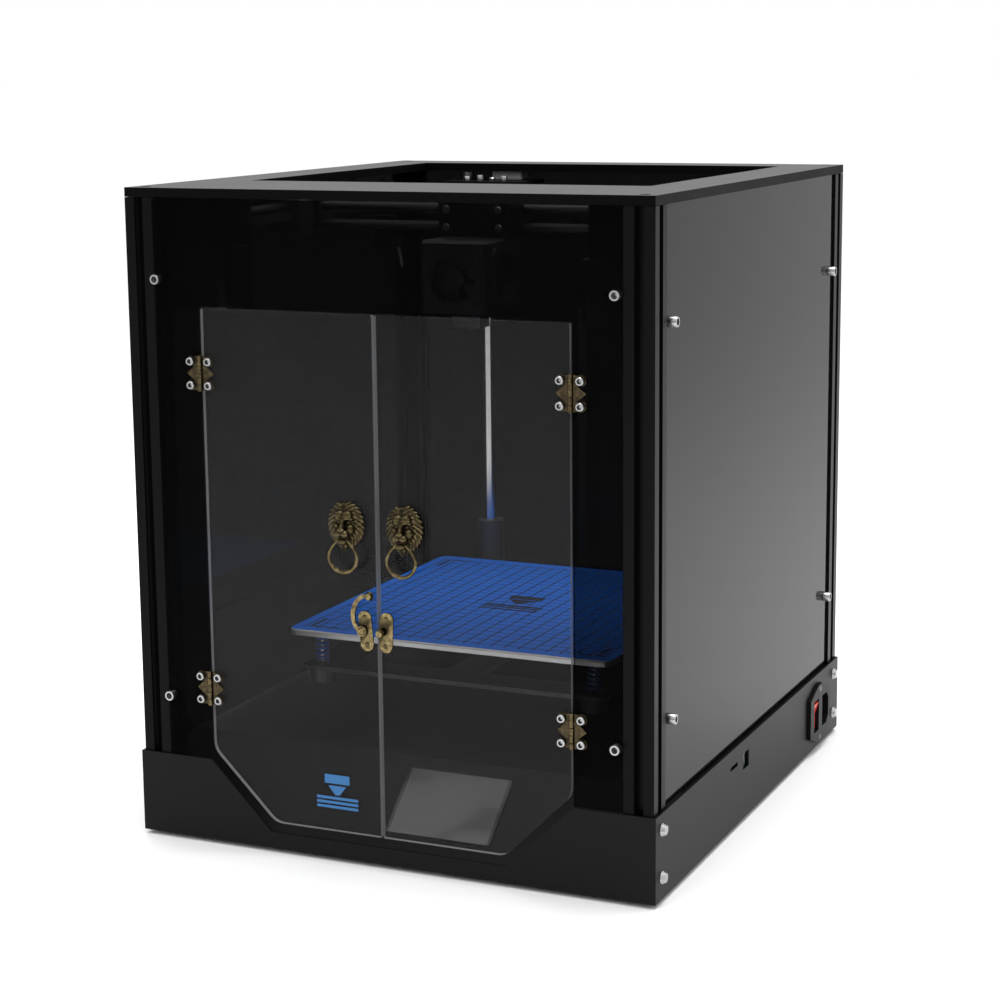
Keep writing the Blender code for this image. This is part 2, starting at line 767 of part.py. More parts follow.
def hinge(name, side, z):
    """Fixed leaf of a small butterfly hinge, with the barrel that its door's leaf turns on."""
    face = FRONT_FACE - GAP
    half = HINGE_H / 2
    tip, ear = HINGE_LEAF, HINGE_EAR
    right = [(0, -half), (ear, -half), (ear, -half * 0.42), (tip, 0), (ear, half * 0.42),
             (ear, half), (0, half)]
    loop = [(side * (PIN_X + u), z + v) for u, v in right]
    leaf = plate(name, [loop], "XZ", face - HINGE_SHEET, face, antique_brass())
    x = side * PIN_X
    barrel = rod(name + "_barrel", (x, PIN_Y, z - half * 0.98), (x, PIN_Y, z + half * 0.98),
                 HINGE_PIN_R, sides=12)
    return join(leaf, barrel)


def hinges():
    for word, side in sides():
        for level, z in zip(("lower", "upper"), HINGE_Z):
            hinge(f"hinge_{level}_{word}", side, z)


def bump(name, centre, radii, flat_y, paint=None, parent=None):
    """The front half of an ellipsoid, cut flat where it meets the door."""
    shape = bmesh.new()
    bmesh.ops.create_uvsphere(shape, u_segments=16, v_segments=10, radius=1)
    bmesh.ops.scale(shape, vec=radii, verts=shape.verts)
    bmesh.ops.translate(shape, vec=centre, verts=shape.verts)
    halved = bmesh.ops.bisect_plane(
        shape, geom=shape.verts[:] + shape.edges[:] + shape.faces[:], plane_co=(0, flat_y, 0),
        plane_no=(0, 1, 0), clear_outer=True,
    )
    rim = [e for e in halved["geom_cut"] if isinstance(e, bmesh.types.BMEdge)]
    bmesh.ops.holes_fill(shape, edges=rim)
    return solid(name, shape, paint, parent)


def pull(word, side, hold):
    """Lion-head pull: mane, face above the mouth groove, and a lower jaw inside the ring."""
    x = DOOR_SPLIT + side * PULL_OFFSET
    face_y = FRONT_FACE - GAP
    head = bump(f"pull_{word}", (x, face_y, PULL_Z), (PULL_HALF_W, MANE_DEPTH, PULL_HALF_H),
                face_y, antique_brass(), hold)
    muzzle = bump(f"muzzle_{word}", (x, face_y - 1 * MM, PULL_Z + 1 * MM),
                  (9.4 * MM, FACE_DEPTH - 1 * MM, 11.6 * MM), face_y - 0.5 * MM)
    groove = block(
        f"mouth_{word}",
        (x - PULL_HALF_W, face_y - 2 * FACE_DEPTH, PULL_Z - 2 * PULL_HALF_H),
        (x + PULL_HALF_W, face_y - MANE_DEPTH - 0.2 * MM, PULL_Z - MOUTH_TOP),
    )
    jaw = bump(f"jaw_{word}", (x, face_y - 1 * MM, PULL_Z - MOUTH_BOTTOM - 4 * MM),
               (4.6 * MM, 7 * MM, 4 * MM), face_y - 0.5 * MM)
    join(head, muzzle)
    cut(head, groove)
    return join(head, jaw)


def ring(word, side):
    """Oval drop ring, held in the lion's mouth by its top."""
    x, y = DOOR_SPLIT + side * PULL_OFFSET, FRONT_FACE - GAP - RING_OUT
    top = PULL_Z - MOUTH_TOP - 2 * RING_WIRE_R
    hold = pivot(f"ring_pivot_{word}", (x, y, top))
    wire = bpy.data.curves.new(f"ring_{word}", "CURVE")
    wire.dimensions = "3D"
    wire.bevel_depth = RING_WIRE_R
    wire.bevel_resolution = 1
    spline = wire.splines.new("POLY")
    turns = 26
    spline.points.add(turns - 1)
    for i, point in enumerate(spline.points):
        a = 2 * math.pi * i / turns
        point.co = (x + RING_HALF_W * math.sin(a), y,
                    top - RING_HALF_H + RING_HALF_H * math.cos(a), 1)
    spline.use_cyclic_u = True
    return link(bpy.data.objects.new(f"ring_{word}", wire), antique_brass(), hold)


def lobed_plate(name, x, lean, hold):
    """Narrow latch plate with two screw lobes, leaning a little. Returns it and its front face."""
    half_w, half_h = LATCH_PLATE_W / 2, LATCH_PLATE_H / 2
    loop = (
        arc((x + lean, LATCH_Z + half_h - half_w), half_w, 0, math.pi, 8)
        + arc((x - lean, LATCH_Z - half_h + half_w), half_w, math.pi, 2 * math.pi, 8)
    )
    face = FRONT_FACE - GAP
    made = plate(name, [loop], "XZ", face - LATCH_SHEET, face, antique_brass(), hold)
    return made, face - LATCH_SHEET


def latch_base(hold):
    """Plate on the left door with the rivet that the arm turns on."""
    made, front = lobed_plate("latch_base", DOOR_SPLIT - LATCH_SEAM_OFFSET, -LATCH_LEAN, hold)
    x = DOOR_SPLIT - RIVET_SEAM_OFFSET
    shaft_end = front - ARM_SHEET - 2 * GAP
    shaft = rod("rivet_shaft", (x, front + 0.5 * MM, LATCH_Z), (x, shaft_end - 0.2 * MM, LATCH_Z),
                RIVET_R, sides=12)
    head = rod("rivet_head", (x, shaft_end, LATCH_Z), (x, shaft_end - 0.9 * MM, LATCH_Z),
               RIVET_R * 2.1, sides=16, end_radius=RIVET_R * 1.4)
    return join(made, shaft, head)


def latch_keeper(hold):
    """Plate on the right door with the knob that the arm hooks over."""
    made, front = lobed_plate("latch_keeper", DOOR_SPLIT + KEEPER_SEAM_OFFSET, LATCH_LEAN / 2, hold)
    knob_x = DOOR_SPLIT + KNOB_SEAM_OFFSET
    stem = rod("keeper_stem", (knob_x, front + 0.5 * MM, LATCH_Z), (knob_x, front - 3 * MM, LATCH_Z),
               KEEPER_STEM_R, sides=12)
    knob = rod("keeper_knob", (knob_x, front - 2.6 * MM, LATCH_Z),
               (knob_x, front - 4.6 * MM, LATCH_Z), KEEPER_KNOB_R, sides=16,
               end_radius=KEEPER_KNOB_R * 0.75)
    return join(made, stem, knob)


def latch_arm():
    """Arched hook on the rivet, raised so that both doors are free. It turns down over the knob."""
    x = DOOR_SPLIT - RIVET_SEAM_OFFSET
    face = FRONT_FACE - GAP - LATCH_SHEET - GAP
    hold = pivot("latch_pivot", (x, face - ARM_SHEET / 2, LATCH_Z))
    half_span, half_width = ARM_SPAN / 2, ARM_WIDTH / 2
    spin = Matrix.Rotation(ARM_RAISED, 2)

    def bow(first, last, grow):
        unit = arc((0, 0), 1, first, last, 16)
        return [(half_span + (half_span + grow) * u, (ARM_RISE + grow) * v) for u, v in unit]

    def place(points):
        turned = [spin @ Vector(p) for p in points]
        return [(x + p.x, LATCH_Z + p.y) for p in turned]

    outline = bow(math.pi, 0, half_width) + bow(0, math.pi, -half_width)
    arm = plate("latch_arm", [place(outline)], "XZ", face - ARM_SHEET, face, antique_brass(), hold)
    eye = plate("arm_eye", [place(arc((0, 0), 3.4 * MM, 0, 2 * math.pi * 15 / 16, 15))], "XZ",
                face - ARM_SHEET, face)
    tab_at = place([(ARM_SPAN, -0.6 * MM)])[0]
    tab = rod("arm_tab", (tab_at[0], face, tab_at[1]), (tab_at[0], face - 2.6 * MM, tab_at[1]),
              3 * MM, sides=16, end_radius=2 * MM)
    hole = rod("arm_hole", (x, face + POST, LATCH_Z), (x, face - POST, LATCH_Z),
               RIVET_R + RUNNING, sides=12)
    join(arm, eye, tab)
    return cut(arm, hole)


def doors():
    for word, side in sides():
        hold = pivot(f"door_pivot_{word}", (side * PIN_X, PIN_Y, 0))
        door(word, side, hold)
        pull(word, side, hold)
        if side < 0:
            latch_base(hold)
        else:
            latch_keeper(hold)
        ring(word, side)
    latch_arm()


# ---- X/Y drive ------------------------------------------------------------------------------------
def motor(name, x, y, bottom, height):
    """Square motor can with bevelled corners and a round boss on top."""
    half = MOTOR / 2
    corners = []
    for sx, sy in ((-1, -1), (1, -1), (1, 1), (-1, 1)):
        along = [(sx * half, sy * (half - MOTOR_BEVEL)), (sx * (half - MOTOR_BEVEL), sy * half)]
        corners += along if sx * sy > 0 else reversed(along)
    loop = [(x + u, y + v) for u, v in corners]
    return plate(name, [loop], "XY", bottom, bottom + height, black_aluminium())


def xy_drives():
    for word, side in sides():
        x = side * MOTOR_X
        motor(f"xy_motor_{word}", x, MOTOR_Y, MOUNT_BOTTOM - GAP - MOTOR_H, MOTOR_H)
        outer, inner = side * MOUNT_X, side * (MOUNT_X - MOUNT_W)
        rear = MOUNT_FRONT + MOUNT_D
        mount = block(
            f"motor_mount_{word}", (min(outer, inner), MOUNT_FRONT, MOUNT_BOTTOM),
            (max(outer, inner), rear, MOUNT_TOP), black_sheet(),
        )
        past, wall = outer + side * POST, inner + side * MOUNT_SHEET
        hollow = block(
            f"mount_hollow_{word}",
            (min(past, wall), MOUNT_FRONT + MOUNT_SHEET, MOUNT_BOTTOM + MOUNT_SHEET),
            (max(past, wall), rear - MOUNT_SHEET, MOUNT_TOP - MOUNT_SHEET),
        )
        belt_way = block(
            f"belt_way_{word}",
            (min(past, wall), rear - 2 * MOUNT_SHEET, MOUNT_BOTTOM + MOUNT_SHEET),
            (max(past, wall), rear + POST, Y_ROD_Z - Y_ROD_R - 0.5 * MM),
        )
        shaft_hole = rod(f"shaft_hole_{word}", (x, MOTOR_Y, MOUNT_BOTTOM - POST),
                         (x, MOTOR_Y, MOUNT_BOTTOM + POST / 2), 11.5 * MM, sides=16)
        cut(mount, hollow, belt_way, shaft_hole)
        low = MOUNT_BOTTOM + MOUNT_SHEET + 1 * MM
        hold = pivot(f"pulley_pivot_{word}", (x, MOTOR_Y, 0))
        shaft = rod(f"belt_pulley_{word}", (x, MOTOR_Y, MOUNT_BOTTOM), (x, MOTOR_Y, low + PULLEY_H + 5 * MM),
                    SHAFT_R, polished_steel(), hold, sides=12)
        hub = rod(f"pulley_hub_{word}", (x, MOTOR_Y, low), (x, MOTOR_Y, low + PULLEY_H), PULLEY_R)
        rims = [
            rod(f"pulley_rim_{word}_{i}", (x, MOTOR_Y, z), (x, MOTOR_Y, z + 1 * MM), PULLEY_FLANGE_R)
            for i, z in enumerate((low + PULLEY_H - 9 * MM, low + PULLEY_H - 1 * MM))
        ]
        join(shaft, hub, *rims)
        rod(f"y_rod_{word}", (side * Y_ROD_X, rear + GAP, Y_ROD_Z),
            (side * Y_ROD_X, FRAME_D / 2 - Y_ROD_REAR_GAP, Y_ROD_Z), Y_ROD_R, polished_steel())


def gantry():
    """Two end blocks on the Y rods, and a pair of X rods clamped together at both ends."""
    hold = pivot("gantry_slide", (0, GANTRY_Y, Y_ROD_Z))
    w, d, h = GANTRY_END
    low_z = (X_ROD_Z[0] + X_ROD_Z[1] - h) / 2
    for word, side in sides():
        x = side * Y_ROD_X
        end = block(f"gantry_end_{word}", (x - w / 2, GANTRY_Y - d / 2, low_z),
                    (x + w / 2, GANTRY_Y + d / 2, low_z + h), black_plastic(), hold, bevel=1.5 * MM)
        y_bore = rod(f"y_bore_{word}", (x, GANTRY_Y - d, Y_ROD_Z), (x, GANTRY_Y + d, Y_ROD_Z),
                     Y_ROD_R + RUNNING, sides=20)
        x_socket = rod(f"x_socket_{word}", (side * (Y_ROD_X - w / 4), GANTRY_Y, X_ROD_Z[0]),
                       (side * (Y_ROD_X - w), GANTRY_Y, X_ROD_Z[0]), X_ROD_R + GAP, sides=16)
        cut(end, y_bore, x_socket)
    stop, plate_x = Y_ROD_X - w / 4 - GAP, Y_ROD_X - w / 2 - GAP
    lower, upper = X_ROD_Z
    rods = rod("x_rods", (-stop, GANTRY_Y, lower), (stop, GANTRY_Y, lower), X_ROD_R,
               polished_steel(), hold, sides=16)
    second = rod("upper_rod", (1 * MM - plate_x, GANTRY_Y, upper), (plate_x - 1 * MM, GANTRY_Y, upper),
                 X_ROD_R, sides=16)
    clamps = [
        block(
            f"rod_clamp_{word}",
            (min(side * plate_x, side * (plate_x - 4 * MM)), GANTRY_Y - 5 * MM, lower - 4.5 * MM),
            (max(side * plate_x, side * (plate_x - 4 * MM)), GANTRY_Y + 5 * MM, upper + 4.5 * MM),
        )
        for word, side in sides()
    ]
    join(rods, second, *clamps)


def fan_rotor(name, centre, axis, hold):
    """Hub and straight blades in one piece, turning about an axis."""
    centre, axis = Vector(centre), Vector(axis)
    reach = FAN_HOLE_R - 1.2 * MM
    hub = rod(name, centre, centre + axis * (FAN_DEPTH - 3 * MM), FAN_HUB_R, black_plastic(), hold,
              sides=14)
    across = Vector((0, 0, 1))
    for i in range(FAN_BLADES):
        spoke = Matrix.Rotation(2 * math.pi * i / FAN_BLADES, 3, axis) @ across
        shape = bmesh.new()
        bmesh.ops.create_cube(shape, size=1)
        bmesh.ops.scale(shape, vec=(1 * MM, FAN_DEPTH - 4.5 * MM, reach - FAN_HUB_R + 2 * MM),
                        verts=shape.verts)
        lean = Matrix.Rotation(math.radians(35), 4, "Z")
        facing = turn_to(spoke)
        along = facing.to_3x3().inverted() @ axis
        spin = Matrix.Rotation(math.atan2(along.y, along.x) - math.pi / 2, 4, "Z")
        place = Matrix.Translation(
            centre + axis * (FAN_DEPTH - 3 * MM) / 2 + spoke * (reach + FAN_HUB_R - 2 * MM) / 2
        )
        bmesh.ops.transform(shape, matrix=place @ facing @ spin @ lean, verts=shape.verts)
        join(hub, solid(f"{name}_blade_{i}", shape, None))
    return hub


def carriage():
    """The sliding block on the X rods with the print head under it."""
    hold = pivot("carriage_slide", (0, GANTRY_Y, X_ROD_Z[1]))
    w, d, h = CARRIAGE
    slide = block("carriage", (-w / 2, GANTRY_Y - d * 0.62, CARRIAGE_Z),
                  (w / 2, GANTRY_Y + d * 0.38, CARRIAGE_Z + h), black_sheet(), hold, bevel=1 * MM)
    cut(slide, *[
        rod(f"carriage_bore_{i}", (-w, GANTRY_Y, z), (w, GANTRY_Y, z), X_ROD_R + RUNNING, sides=16)
        for i, z in enumerate(X_ROD_Z)
    ])
    w, d, h = HEAD
    front, top = GANTRY_Y - HEAD_FRONT, CARRIAGE_Z - GAP
    head = block("print_head", (-w / 2, front, top - h), (w / 2, front + d, top), black_plastic(),
                 hold, bevel=2 * MM)
    fan_z = top - h / 2
    side_y = front + d / 2
    front_well = rod("front_fan_well", (0, front - POST, fan_z), (0, front + FAN_DEPTH, fan_z),
                     FAN_HOLE_R, sides=24)
    side_well = rod("side_fan_well", (w / 2 + POST, side_y, fan_z), (w / 2 - FAN_DEPTH, side_y, fan_z),
                    FAN_HOLE_R, sides=24)
    cut(head, front_well, side_well)
    spin = pivot("front_fan_spin", (0, front, fan_z))
    fan_rotor("front_fan", (0, front + 1.5 * MM, fan_z), (0, 1, 0), spin)
    spin = pivot("side_fan_spin", (w / 2, side_y, fan_z))
    fan_rotor("side_fan", (w / 2 - 1.5 * MM, side_y, fan_z), (-1, 0, 0), spin)
    nozzle_y = front + d / 2
    w, d, h = HEATER
    low = top - HEAD[2] - GAP - h
    heater = block("hotend", (-w / 2, nozzle_y - d / 2, low), (w / 2, nozzle_y + d / 2, low + h),
                   brass(), hold)
    tip = rod("nozzle", (0, nozzle_y, low + 0.5 * MM), (0, nozzle_y, low - NOZZLE_H), 3.5 * MM,
              sides=12, end_radius=0.6 * MM)
    join(heater, tip)


def extruder():
    """Filament drive on the rear wall: a square motor under a plate that carries the feed gear."""
    rear = FRAME_D / 2 - PANEL_RECESS - PANEL - GAP
    w, d, h = EXTRUDER
    top = EXTRUDER_TOP - EXTRUDER_PLATE[2]
    body = block("extruder", (EXTRUDER_X - w / 2, rear - d, top - h),
                 (EXTRUDER_X + w / 2, rear, top), raw_aluminium(), bevel=1.5 * MM)
    w, d, h = EXTRUDER_PLATE
    shelf = block("extruder_plate", (EXTRUDER_X - w / 2, rear - 6 * MM - d, top - 0.5 * MM),
                  (EXTRUDER_X + w / 2, rear - 6 * MM, top + h))
    return join(body, shelf)


# ---- bed and Z drive ------------------------------------------------------------------------------
def z_drive():
    bottom = FOOT_H + SHEET + GAP
    motor("z_motor", Z_AXIS_X, Z_AXIS_Y, bottom, MOTOR_H)
    hold = pivot("lead_screw_spin", (Z_AXIS_X, Z_AXIS_Y, 0))
    foot = bottom + MOTOR_H + GAP
    screw = rod("lead_screw", (Z_AXIS_X, Z_AXIS_Y, foot), (Z_AXIS_X, Z_AXIS_Y, SCREW_TOP), SCREW_R,
                polished_steel(), hold, sides=16)
    coupler = rod("coupler", (Z_AXIS_X, Z_AXIS_Y, foot + 0.2 * MM),
                  (Z_AXIS_X, Z_AXIS_Y, foot + COUPLER_H), COUPLER_R)
    join(screw, coupler)
    for word, side in sides():
        x = Z_AXIS_X + side * Z_ROD_SPREAD
        rod(f"z_rod_{word}", (x, Z_AXIS_Y, DECK_Z + SHEET + GAP), (x, Z_AXIS_Y, Z_ROD_TOP),
            Z_ROD_R, polished_steel(), sides=20)


def bed_outline(inset=0.0):
    half_w, half_d = BED_W / 2 - inset, BED_D / 2 - inset
    return rectangle(BED_X - half_w, BED_Y - half_d, BED_X + half_w, BED_Y + half_d, BED_ROUND)


def knob_places():
    x = BED_W / 2 - KNOB_INSET
    return (("front_left", BED_X - x, KNOB_Y[0]), ("front_right", BED_X + x, KNOB_Y[0]),
            ("rear", BED_X, KNOB_Y[1]))


def bed():
    hold = pivot("bed_slide", (Z_AXIS_X, Z_AXIS_Y, BED_TOP))
    plate("print_sheet", [bed_outline()], "XY", BED_TOP - SHEET_STEEL, BED_TOP, blue_sheet(), hold)
    plate("heated_bed", [bed_outline()], "XY", PLATE_TOP - HEATER_PLATE, PLATE_TOP,
          raw_aluminium(), hold)
    front, rear = BED_Y - BED_D / 2 + CARRIER_EDGE / 2, Z_AXIS_Y - BEARING_R - 8 * MM
    left, right = BED_X - BED_W / 2 + CARRIER_EDGE / 2, BED_X + BED_W / 2 - CARRIER_EDGE / 2
    outer = rectangle(left, front, right, rear, BED_ROUND)
    middle = (left + right) / 2
    windows = [
        rectangle(left + CARRIER_BAR, front + CARRIER_BAR, middle - CARRIER_BAR / 2,
                  rear - CARRIER_BAR, BED_ROUND),
        rectangle(middle + CARRIER_BAR / 2, front + CARRIER_BAR, right - CARRIER_BAR,
                  rear - CARRIER_BAR, BED_ROUND),
    ]
    bolts = [arc((x, y), 2.3 * MM, 0, 2 * math.pi * 7 / 8, 7) for _, x, y in knob_places()]
    carrier = plate("bed_carrier", [outer, *bolts], "XY", CARRIER_BOTTOM, CARRIER_TOP,
                    black_sheet(), hold)
    cut(carrier, *[
        plate(f"carrier_window_{i}", [loop], "XY", 0, HEIGHT) for i, loop in enumerate(windows)
    ])
    bar = block("carrier_bar", (left + 1 * MM, rear - 6 * MM, CARRIER_BOTTOM + 0.5 * MM),
                (right - 1 * MM, Z_AXIS_Y - BEARING_R + 2.5 * MM, CARRIER_TOP + 18 * MM))
    tubes, bores = [], []
    for word, side in sides():
        x = Z_AXIS_X + side * Z_ROD_SPREAD
        tubes.append(rod(f"bearing_{word}", (x, Z_AXIS_Y, CARRIER_BOTTOM - 0.2 * MM),
                         (x, Z_AXIS_Y, CARRIER_BOTTOM + BEARING_H), BEARING_R, sides=24))
        bores.append(rod(f"bearing_bore_{word}", (x, Z_AXIS_Y, 0), (x, Z_AXIS_Y, HEIGHT),
                         Z_ROD_R + RUNNING, sides=20))
    tubes.append(rod("lead_nut", (Z_AXIS_X, Z_AXIS_Y, CARRIER_BOTTOM - 0.2 * MM),
                     (Z_AXIS_X, Z_AXIS_Y, CARRIER_BOTTOM + NUT_H), NUT_R, sides=24))
    bores.append(rod("nut_bore", (Z_AXIS_X, Z_AXIS_Y, 0), (Z_AXIS_X, Z_AXIS_Y, HEIGHT),
                     SCREW_R + RUNNING, sides=16))
    join(carrier, bar, *tubes)
    cut(carrier, *bores)
    for word, x, y in knob_places():
        turn = pivot(f"knob_pivot_{word}", (x, y, CARRIER_BOTTOM))
        top = CARRIER_BOTTOM - GAP
        rod(f"levelling_knob_{word}", (x, y, top - KNOB_H), (x, y, top), KNOB_R, black_plastic(),
            turn, sides=18)


base_tray()
feet()
deck()
touchscreen()
power_supply()
mainboard()
mains_inlet()
rocker_switch()
posts()
top_cap()
walls()
hinges()
doors()
xy_drives()
gantry()
carriage()
extruder()
z_drive()
bed()
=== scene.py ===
"""Looks of the enclosed FDM printer: materials, hardware, hinges, lion pulls, springs, belts and
studio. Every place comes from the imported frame. Lengths are in metres, +Z is up and the doors face
-Y."""

import math

import bmesh
import bpy
from mathutils import Matrix, Vector


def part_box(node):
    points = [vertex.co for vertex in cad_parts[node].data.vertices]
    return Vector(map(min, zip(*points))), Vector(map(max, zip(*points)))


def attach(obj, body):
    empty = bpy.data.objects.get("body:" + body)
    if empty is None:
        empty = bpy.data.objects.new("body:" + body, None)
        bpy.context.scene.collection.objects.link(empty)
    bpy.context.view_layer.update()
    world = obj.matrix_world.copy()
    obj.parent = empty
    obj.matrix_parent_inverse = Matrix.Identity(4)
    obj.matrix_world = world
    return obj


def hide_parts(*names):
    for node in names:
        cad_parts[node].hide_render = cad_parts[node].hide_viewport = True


MM = 0.001
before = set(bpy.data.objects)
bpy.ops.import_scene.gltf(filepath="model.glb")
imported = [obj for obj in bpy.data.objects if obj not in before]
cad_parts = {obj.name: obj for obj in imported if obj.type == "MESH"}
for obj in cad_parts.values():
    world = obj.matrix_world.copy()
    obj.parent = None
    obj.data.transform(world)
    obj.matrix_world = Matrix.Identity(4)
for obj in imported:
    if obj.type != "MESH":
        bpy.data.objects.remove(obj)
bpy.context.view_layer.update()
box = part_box

PIN_RADIUS = 1.5 * MM
FACE = box("front_panel")[0].y
HINGE_X = box("hinge_upper_right")[0].x + PIN_RADIUS
LEAF_THICK = 0.9 * MM
LEAF_HOLE = (6.5 * MM, 7.7 * MM)
LEAF_HALF = 11.6 * MM
CAST_BACK = 0.3 * MM                    # brass castings stand this far off the front panel
PULL_LIFT = 2 * MM
PANEL_HEAD = 3.5 * MM
FRONT_SCREW_Z = (99 * MM, 374 * MM)
PANEL_SCREW_Z = (112 * MM, 356 * MM)
ENDSTOP_Z = 368 * MM
WALL_GAP = 0.4 * MM
BELT_WIDTH = 6 * MM
IDLER_RADIUS = 6 * MM
SHARP_ANGLE = 35

CAMERA_PLACE = (0.62466, -1.41066, 0.5074)
CAMERA_TURN = (24.11, 10.06, -0.56)     # degrees to the side, downward and of roll
CAMERA_LENS = 80.37
CAMERA_SHIFT = -0.04


def centre(node):
    low, high = box(node)
    return [(a + b) / 2 for a, b in zip(low, high)]


# ---- materials ------------------------------------------------------------------------------------
class Shader:
    """A Principled material with helpers for procedural colour, roughness and bump."""

    def __init__(self, name, colour, roughness, **extra):
        self.material = bpy.data.materials.new(name)
        self.material.use_nodes = True
        self.nodes = self.material.node_tree.nodes
        self.links = self.material.node_tree.links
        self.main = self.nodes["Principled BSDF"]
        self.main.inputs["Base Color"].default_value = (*colour, 1)
        self.main.inputs["Roughness"].default_value = roughness
        for socket, value in extra.items():
            self.main.inputs[socket.replace("_", " ")].default_value = value
        self.where = self.nodes.new("ShaderNodeTexCoord").outputs["Object"]

    def link(self, source, target):
        self.links.new(source, target)

    def math(self, operation, *values):
        node = self.nodes.new("ShaderNodeMath")
        node.operation = operation
        for i, value in enumerate(values):
            if isinstance(value, (int, float)):
                node.inputs[i].default_value = value
            else:
                self.link(value, node.inputs[i])
        return node.outputs[0]

    def sum_of_squares(self, u, v):
        return self.math("ADD", self.math("MULTIPLY", u, u), self.math("MULTIPLY", v, v))

    def normal(self):
        return self.nodes.new("ShaderNodeTexCoord").outputs["Normal"]

    def split(self, vector):
        node = self.nodes.new("ShaderNodeSeparateXYZ")
        self.link(vector, node.inputs[0])
        return node.outputs

    def noise(self, scale, detail=3.0, stretch=(1, 1, 1)):
        place = self.nodes.new("ShaderNodeMapping")
        place.inputs["Scale"].default_value = stretch
        self.link(self.where, place.inputs["Vector"])
        node = self.nodes.new("ShaderNodeTexNoise")
        node.inputs["Scale"].default_value = scale
        node.inputs["Detail"].default_value = detail
        self.link(place.outputs[0], node.inputs["Vector"])
        return node.outputs["Fac"]

    def band(self, source, low, high):
        node = self.nodes.new("ShaderNodeMapRange")
        node.inputs["From Min"].default_value = low
        node.inputs["From Max"].default_value = high
        self.link(source, node.inputs["Value"])
        return node.outputs[0]

    def blend(self, factor, first, second, socket="Base Color"):
        """Mixes two colours by a mask into a socket. Either may be a colour or another output."""
        node = self.nodes.new("ShaderNodeMix")
        node.data_type = "RGBA"
        self.link(factor, node.inputs["Factor"])
        for slot, value in ((6, first), (7, second)):
            if isinstance(value, tuple):
                node.inputs[slot].default_value = (*value, 1)
            else:
                self.link(value, node.inputs[slot])
        if socket:
            self.link(node.outputs[2], self.main.inputs[socket])
        return node.outputs[2]

    def openness(self, distance):
        """0 in a hollow narrower than the distance, 1 in the open."""
        node = self.nodes.new("ShaderNodeAmbientOcclusion")
        node.samples = 6
        node.inputs["Distance"].default_value = distance
        return self.band(node.outputs["AO"], 0.35, 0.9)

    def vary(self, socket, source, low, high):
        node = self.nodes.new("ShaderNodeMapRange")
        node.inputs["To Min"].default_value = low
        node.inputs["To Max"].default_value = high
        self.link(source, node.inputs["Value"])
        self.link(node.outputs[0], self.main.inputs[socket])

    def bump(self, source, strength, distance):
        node = self.nodes.new("ShaderNodeBump")
        node.inputs["Strength"].default_value = strength
        node.inputs["Distance"].default_value = distance
        self.link(source, node.inputs["Height"])
        self.link(node.outputs[0], self.main.inputs["Normal"])


def powder_coat(name="powder_coat", tone=0.005, gloss=0.1, bolts=False, painted_top_sheen=0.0):
    """Fine textured black paint, with a painted sheen on what faces up: a paler grey that stands in for
    the overhead reflection. On the tray, what stands out of its side walls is bright steel."""
    paint = (tone, tone, tone * 1.02)
    shader = Shader(name, paint, 0.42, Specular_IOR_Level=gloss)
    grain = shader.noise(1500, 2)
    shader.bump(grain, 0.07, 0.0001)
    cloud = shader.noise(14, 2)
    shader.vary("Roughness", cloud, 0.36, 0.5)
    if painted_top_sheen:
        # painted sheen: faces that point up get a paler grey in place of the overhead reflection
        up = shader.band(shader.split(shader.normal())[2], 0.5, 0.95)
        shader.blend(up, paint, (painted_top_sheen, painted_top_sheen, painted_top_sheen))
    if bolts:
        wall = box("base_tray")[1].x - 2.6 * MM
        out = shader.math("ABSOLUTE", shader.split(shader.where)[0])
        head = shader.math("GREATER_THAN", out, wall)
        shader.blend(head, paint, (0.4, 0.4, 0.41))
        shader.vary("Metallic", head, 0.0, 1.0)
        shader.vary("Roughness", head, 0.42, 0.24)
    return shader.material


def anodised():
    """Black anodised extrusion with faint draw lines along its length."""
    shader = Shader("black_anodised", (0.003, 0.003, 0.0031), 0.3, Specular_IOR_Level=0.06)
    lines = shader.noise(900, 2, (1, 1, 0.01))
    shader.bump(lines, 0.12, 0.00005)
    shader.vary("Roughness", lines, 0.24, 0.38)
    return shader.material


def acrylic(name, alpha, gloss, tint=(0.012, 0.012, 0.013), edge=0.3, axis=1):
    """Smoked sheet. Its sawn edges catch the light, so faces across the sheet are paler."""
    shader = Shader(name, tint, 0.045, Specular_IOR_Level=gloss, IOR=1.49)
    ripple = shader.noise(7, 1)
    shader.bump(ripple, 0.05, 0.0006)
    facing = shader.math("ABSOLUTE", shader.split(shader.normal())[axis])
    rim = shader.math("LESS_THAN", facing, 0.6)
    shader.blend(rim, tint, (edge, edge, edge * 1.02))
    smear = shader.noise(5, 3)
    shader.vary("Roughness", smear, 0.03, 0.08)
    shader.vary("Alpha", rim, alpha, 0.92)
    return shader.material


def antique_brass(name="antique_brass", dark=(0.034, 0.026, 0.012), bright=(0.36, 0.28, 0.13)):
    """Cast brass, dark in its hollows; high spots are paler, partly rubbed wear and partly a painted
    highlight.
    """
    shader = Shader(name, dark, 0.3, Metallic=0.92)
    geometry = shader.nodes.new("ShaderNodeNewGeometry")
    # partly rubbed wear, partly painted highlight: pointed high spots get the bright brass colour
    wear_and_highlight = shader.band(geometry.outputs["Pointiness"], 0.5, 0.57)
    mottle = shader.noise(420, 4)
    mask = shader.math("MULTIPLY", wear_and_highlight, shader.band(mottle, 0.25, 0.75))
    metal = shader.blend(mask, dark, bright, None)
    shader.blend(shader.openness(2.5 * MM), (0.006, 0.005, 0.003), metal)
    shader.vary("Roughness", mottle, 0.16, 0.34)
    shader.bump(mottle, 0.15, 0.0001)
    return shader.material


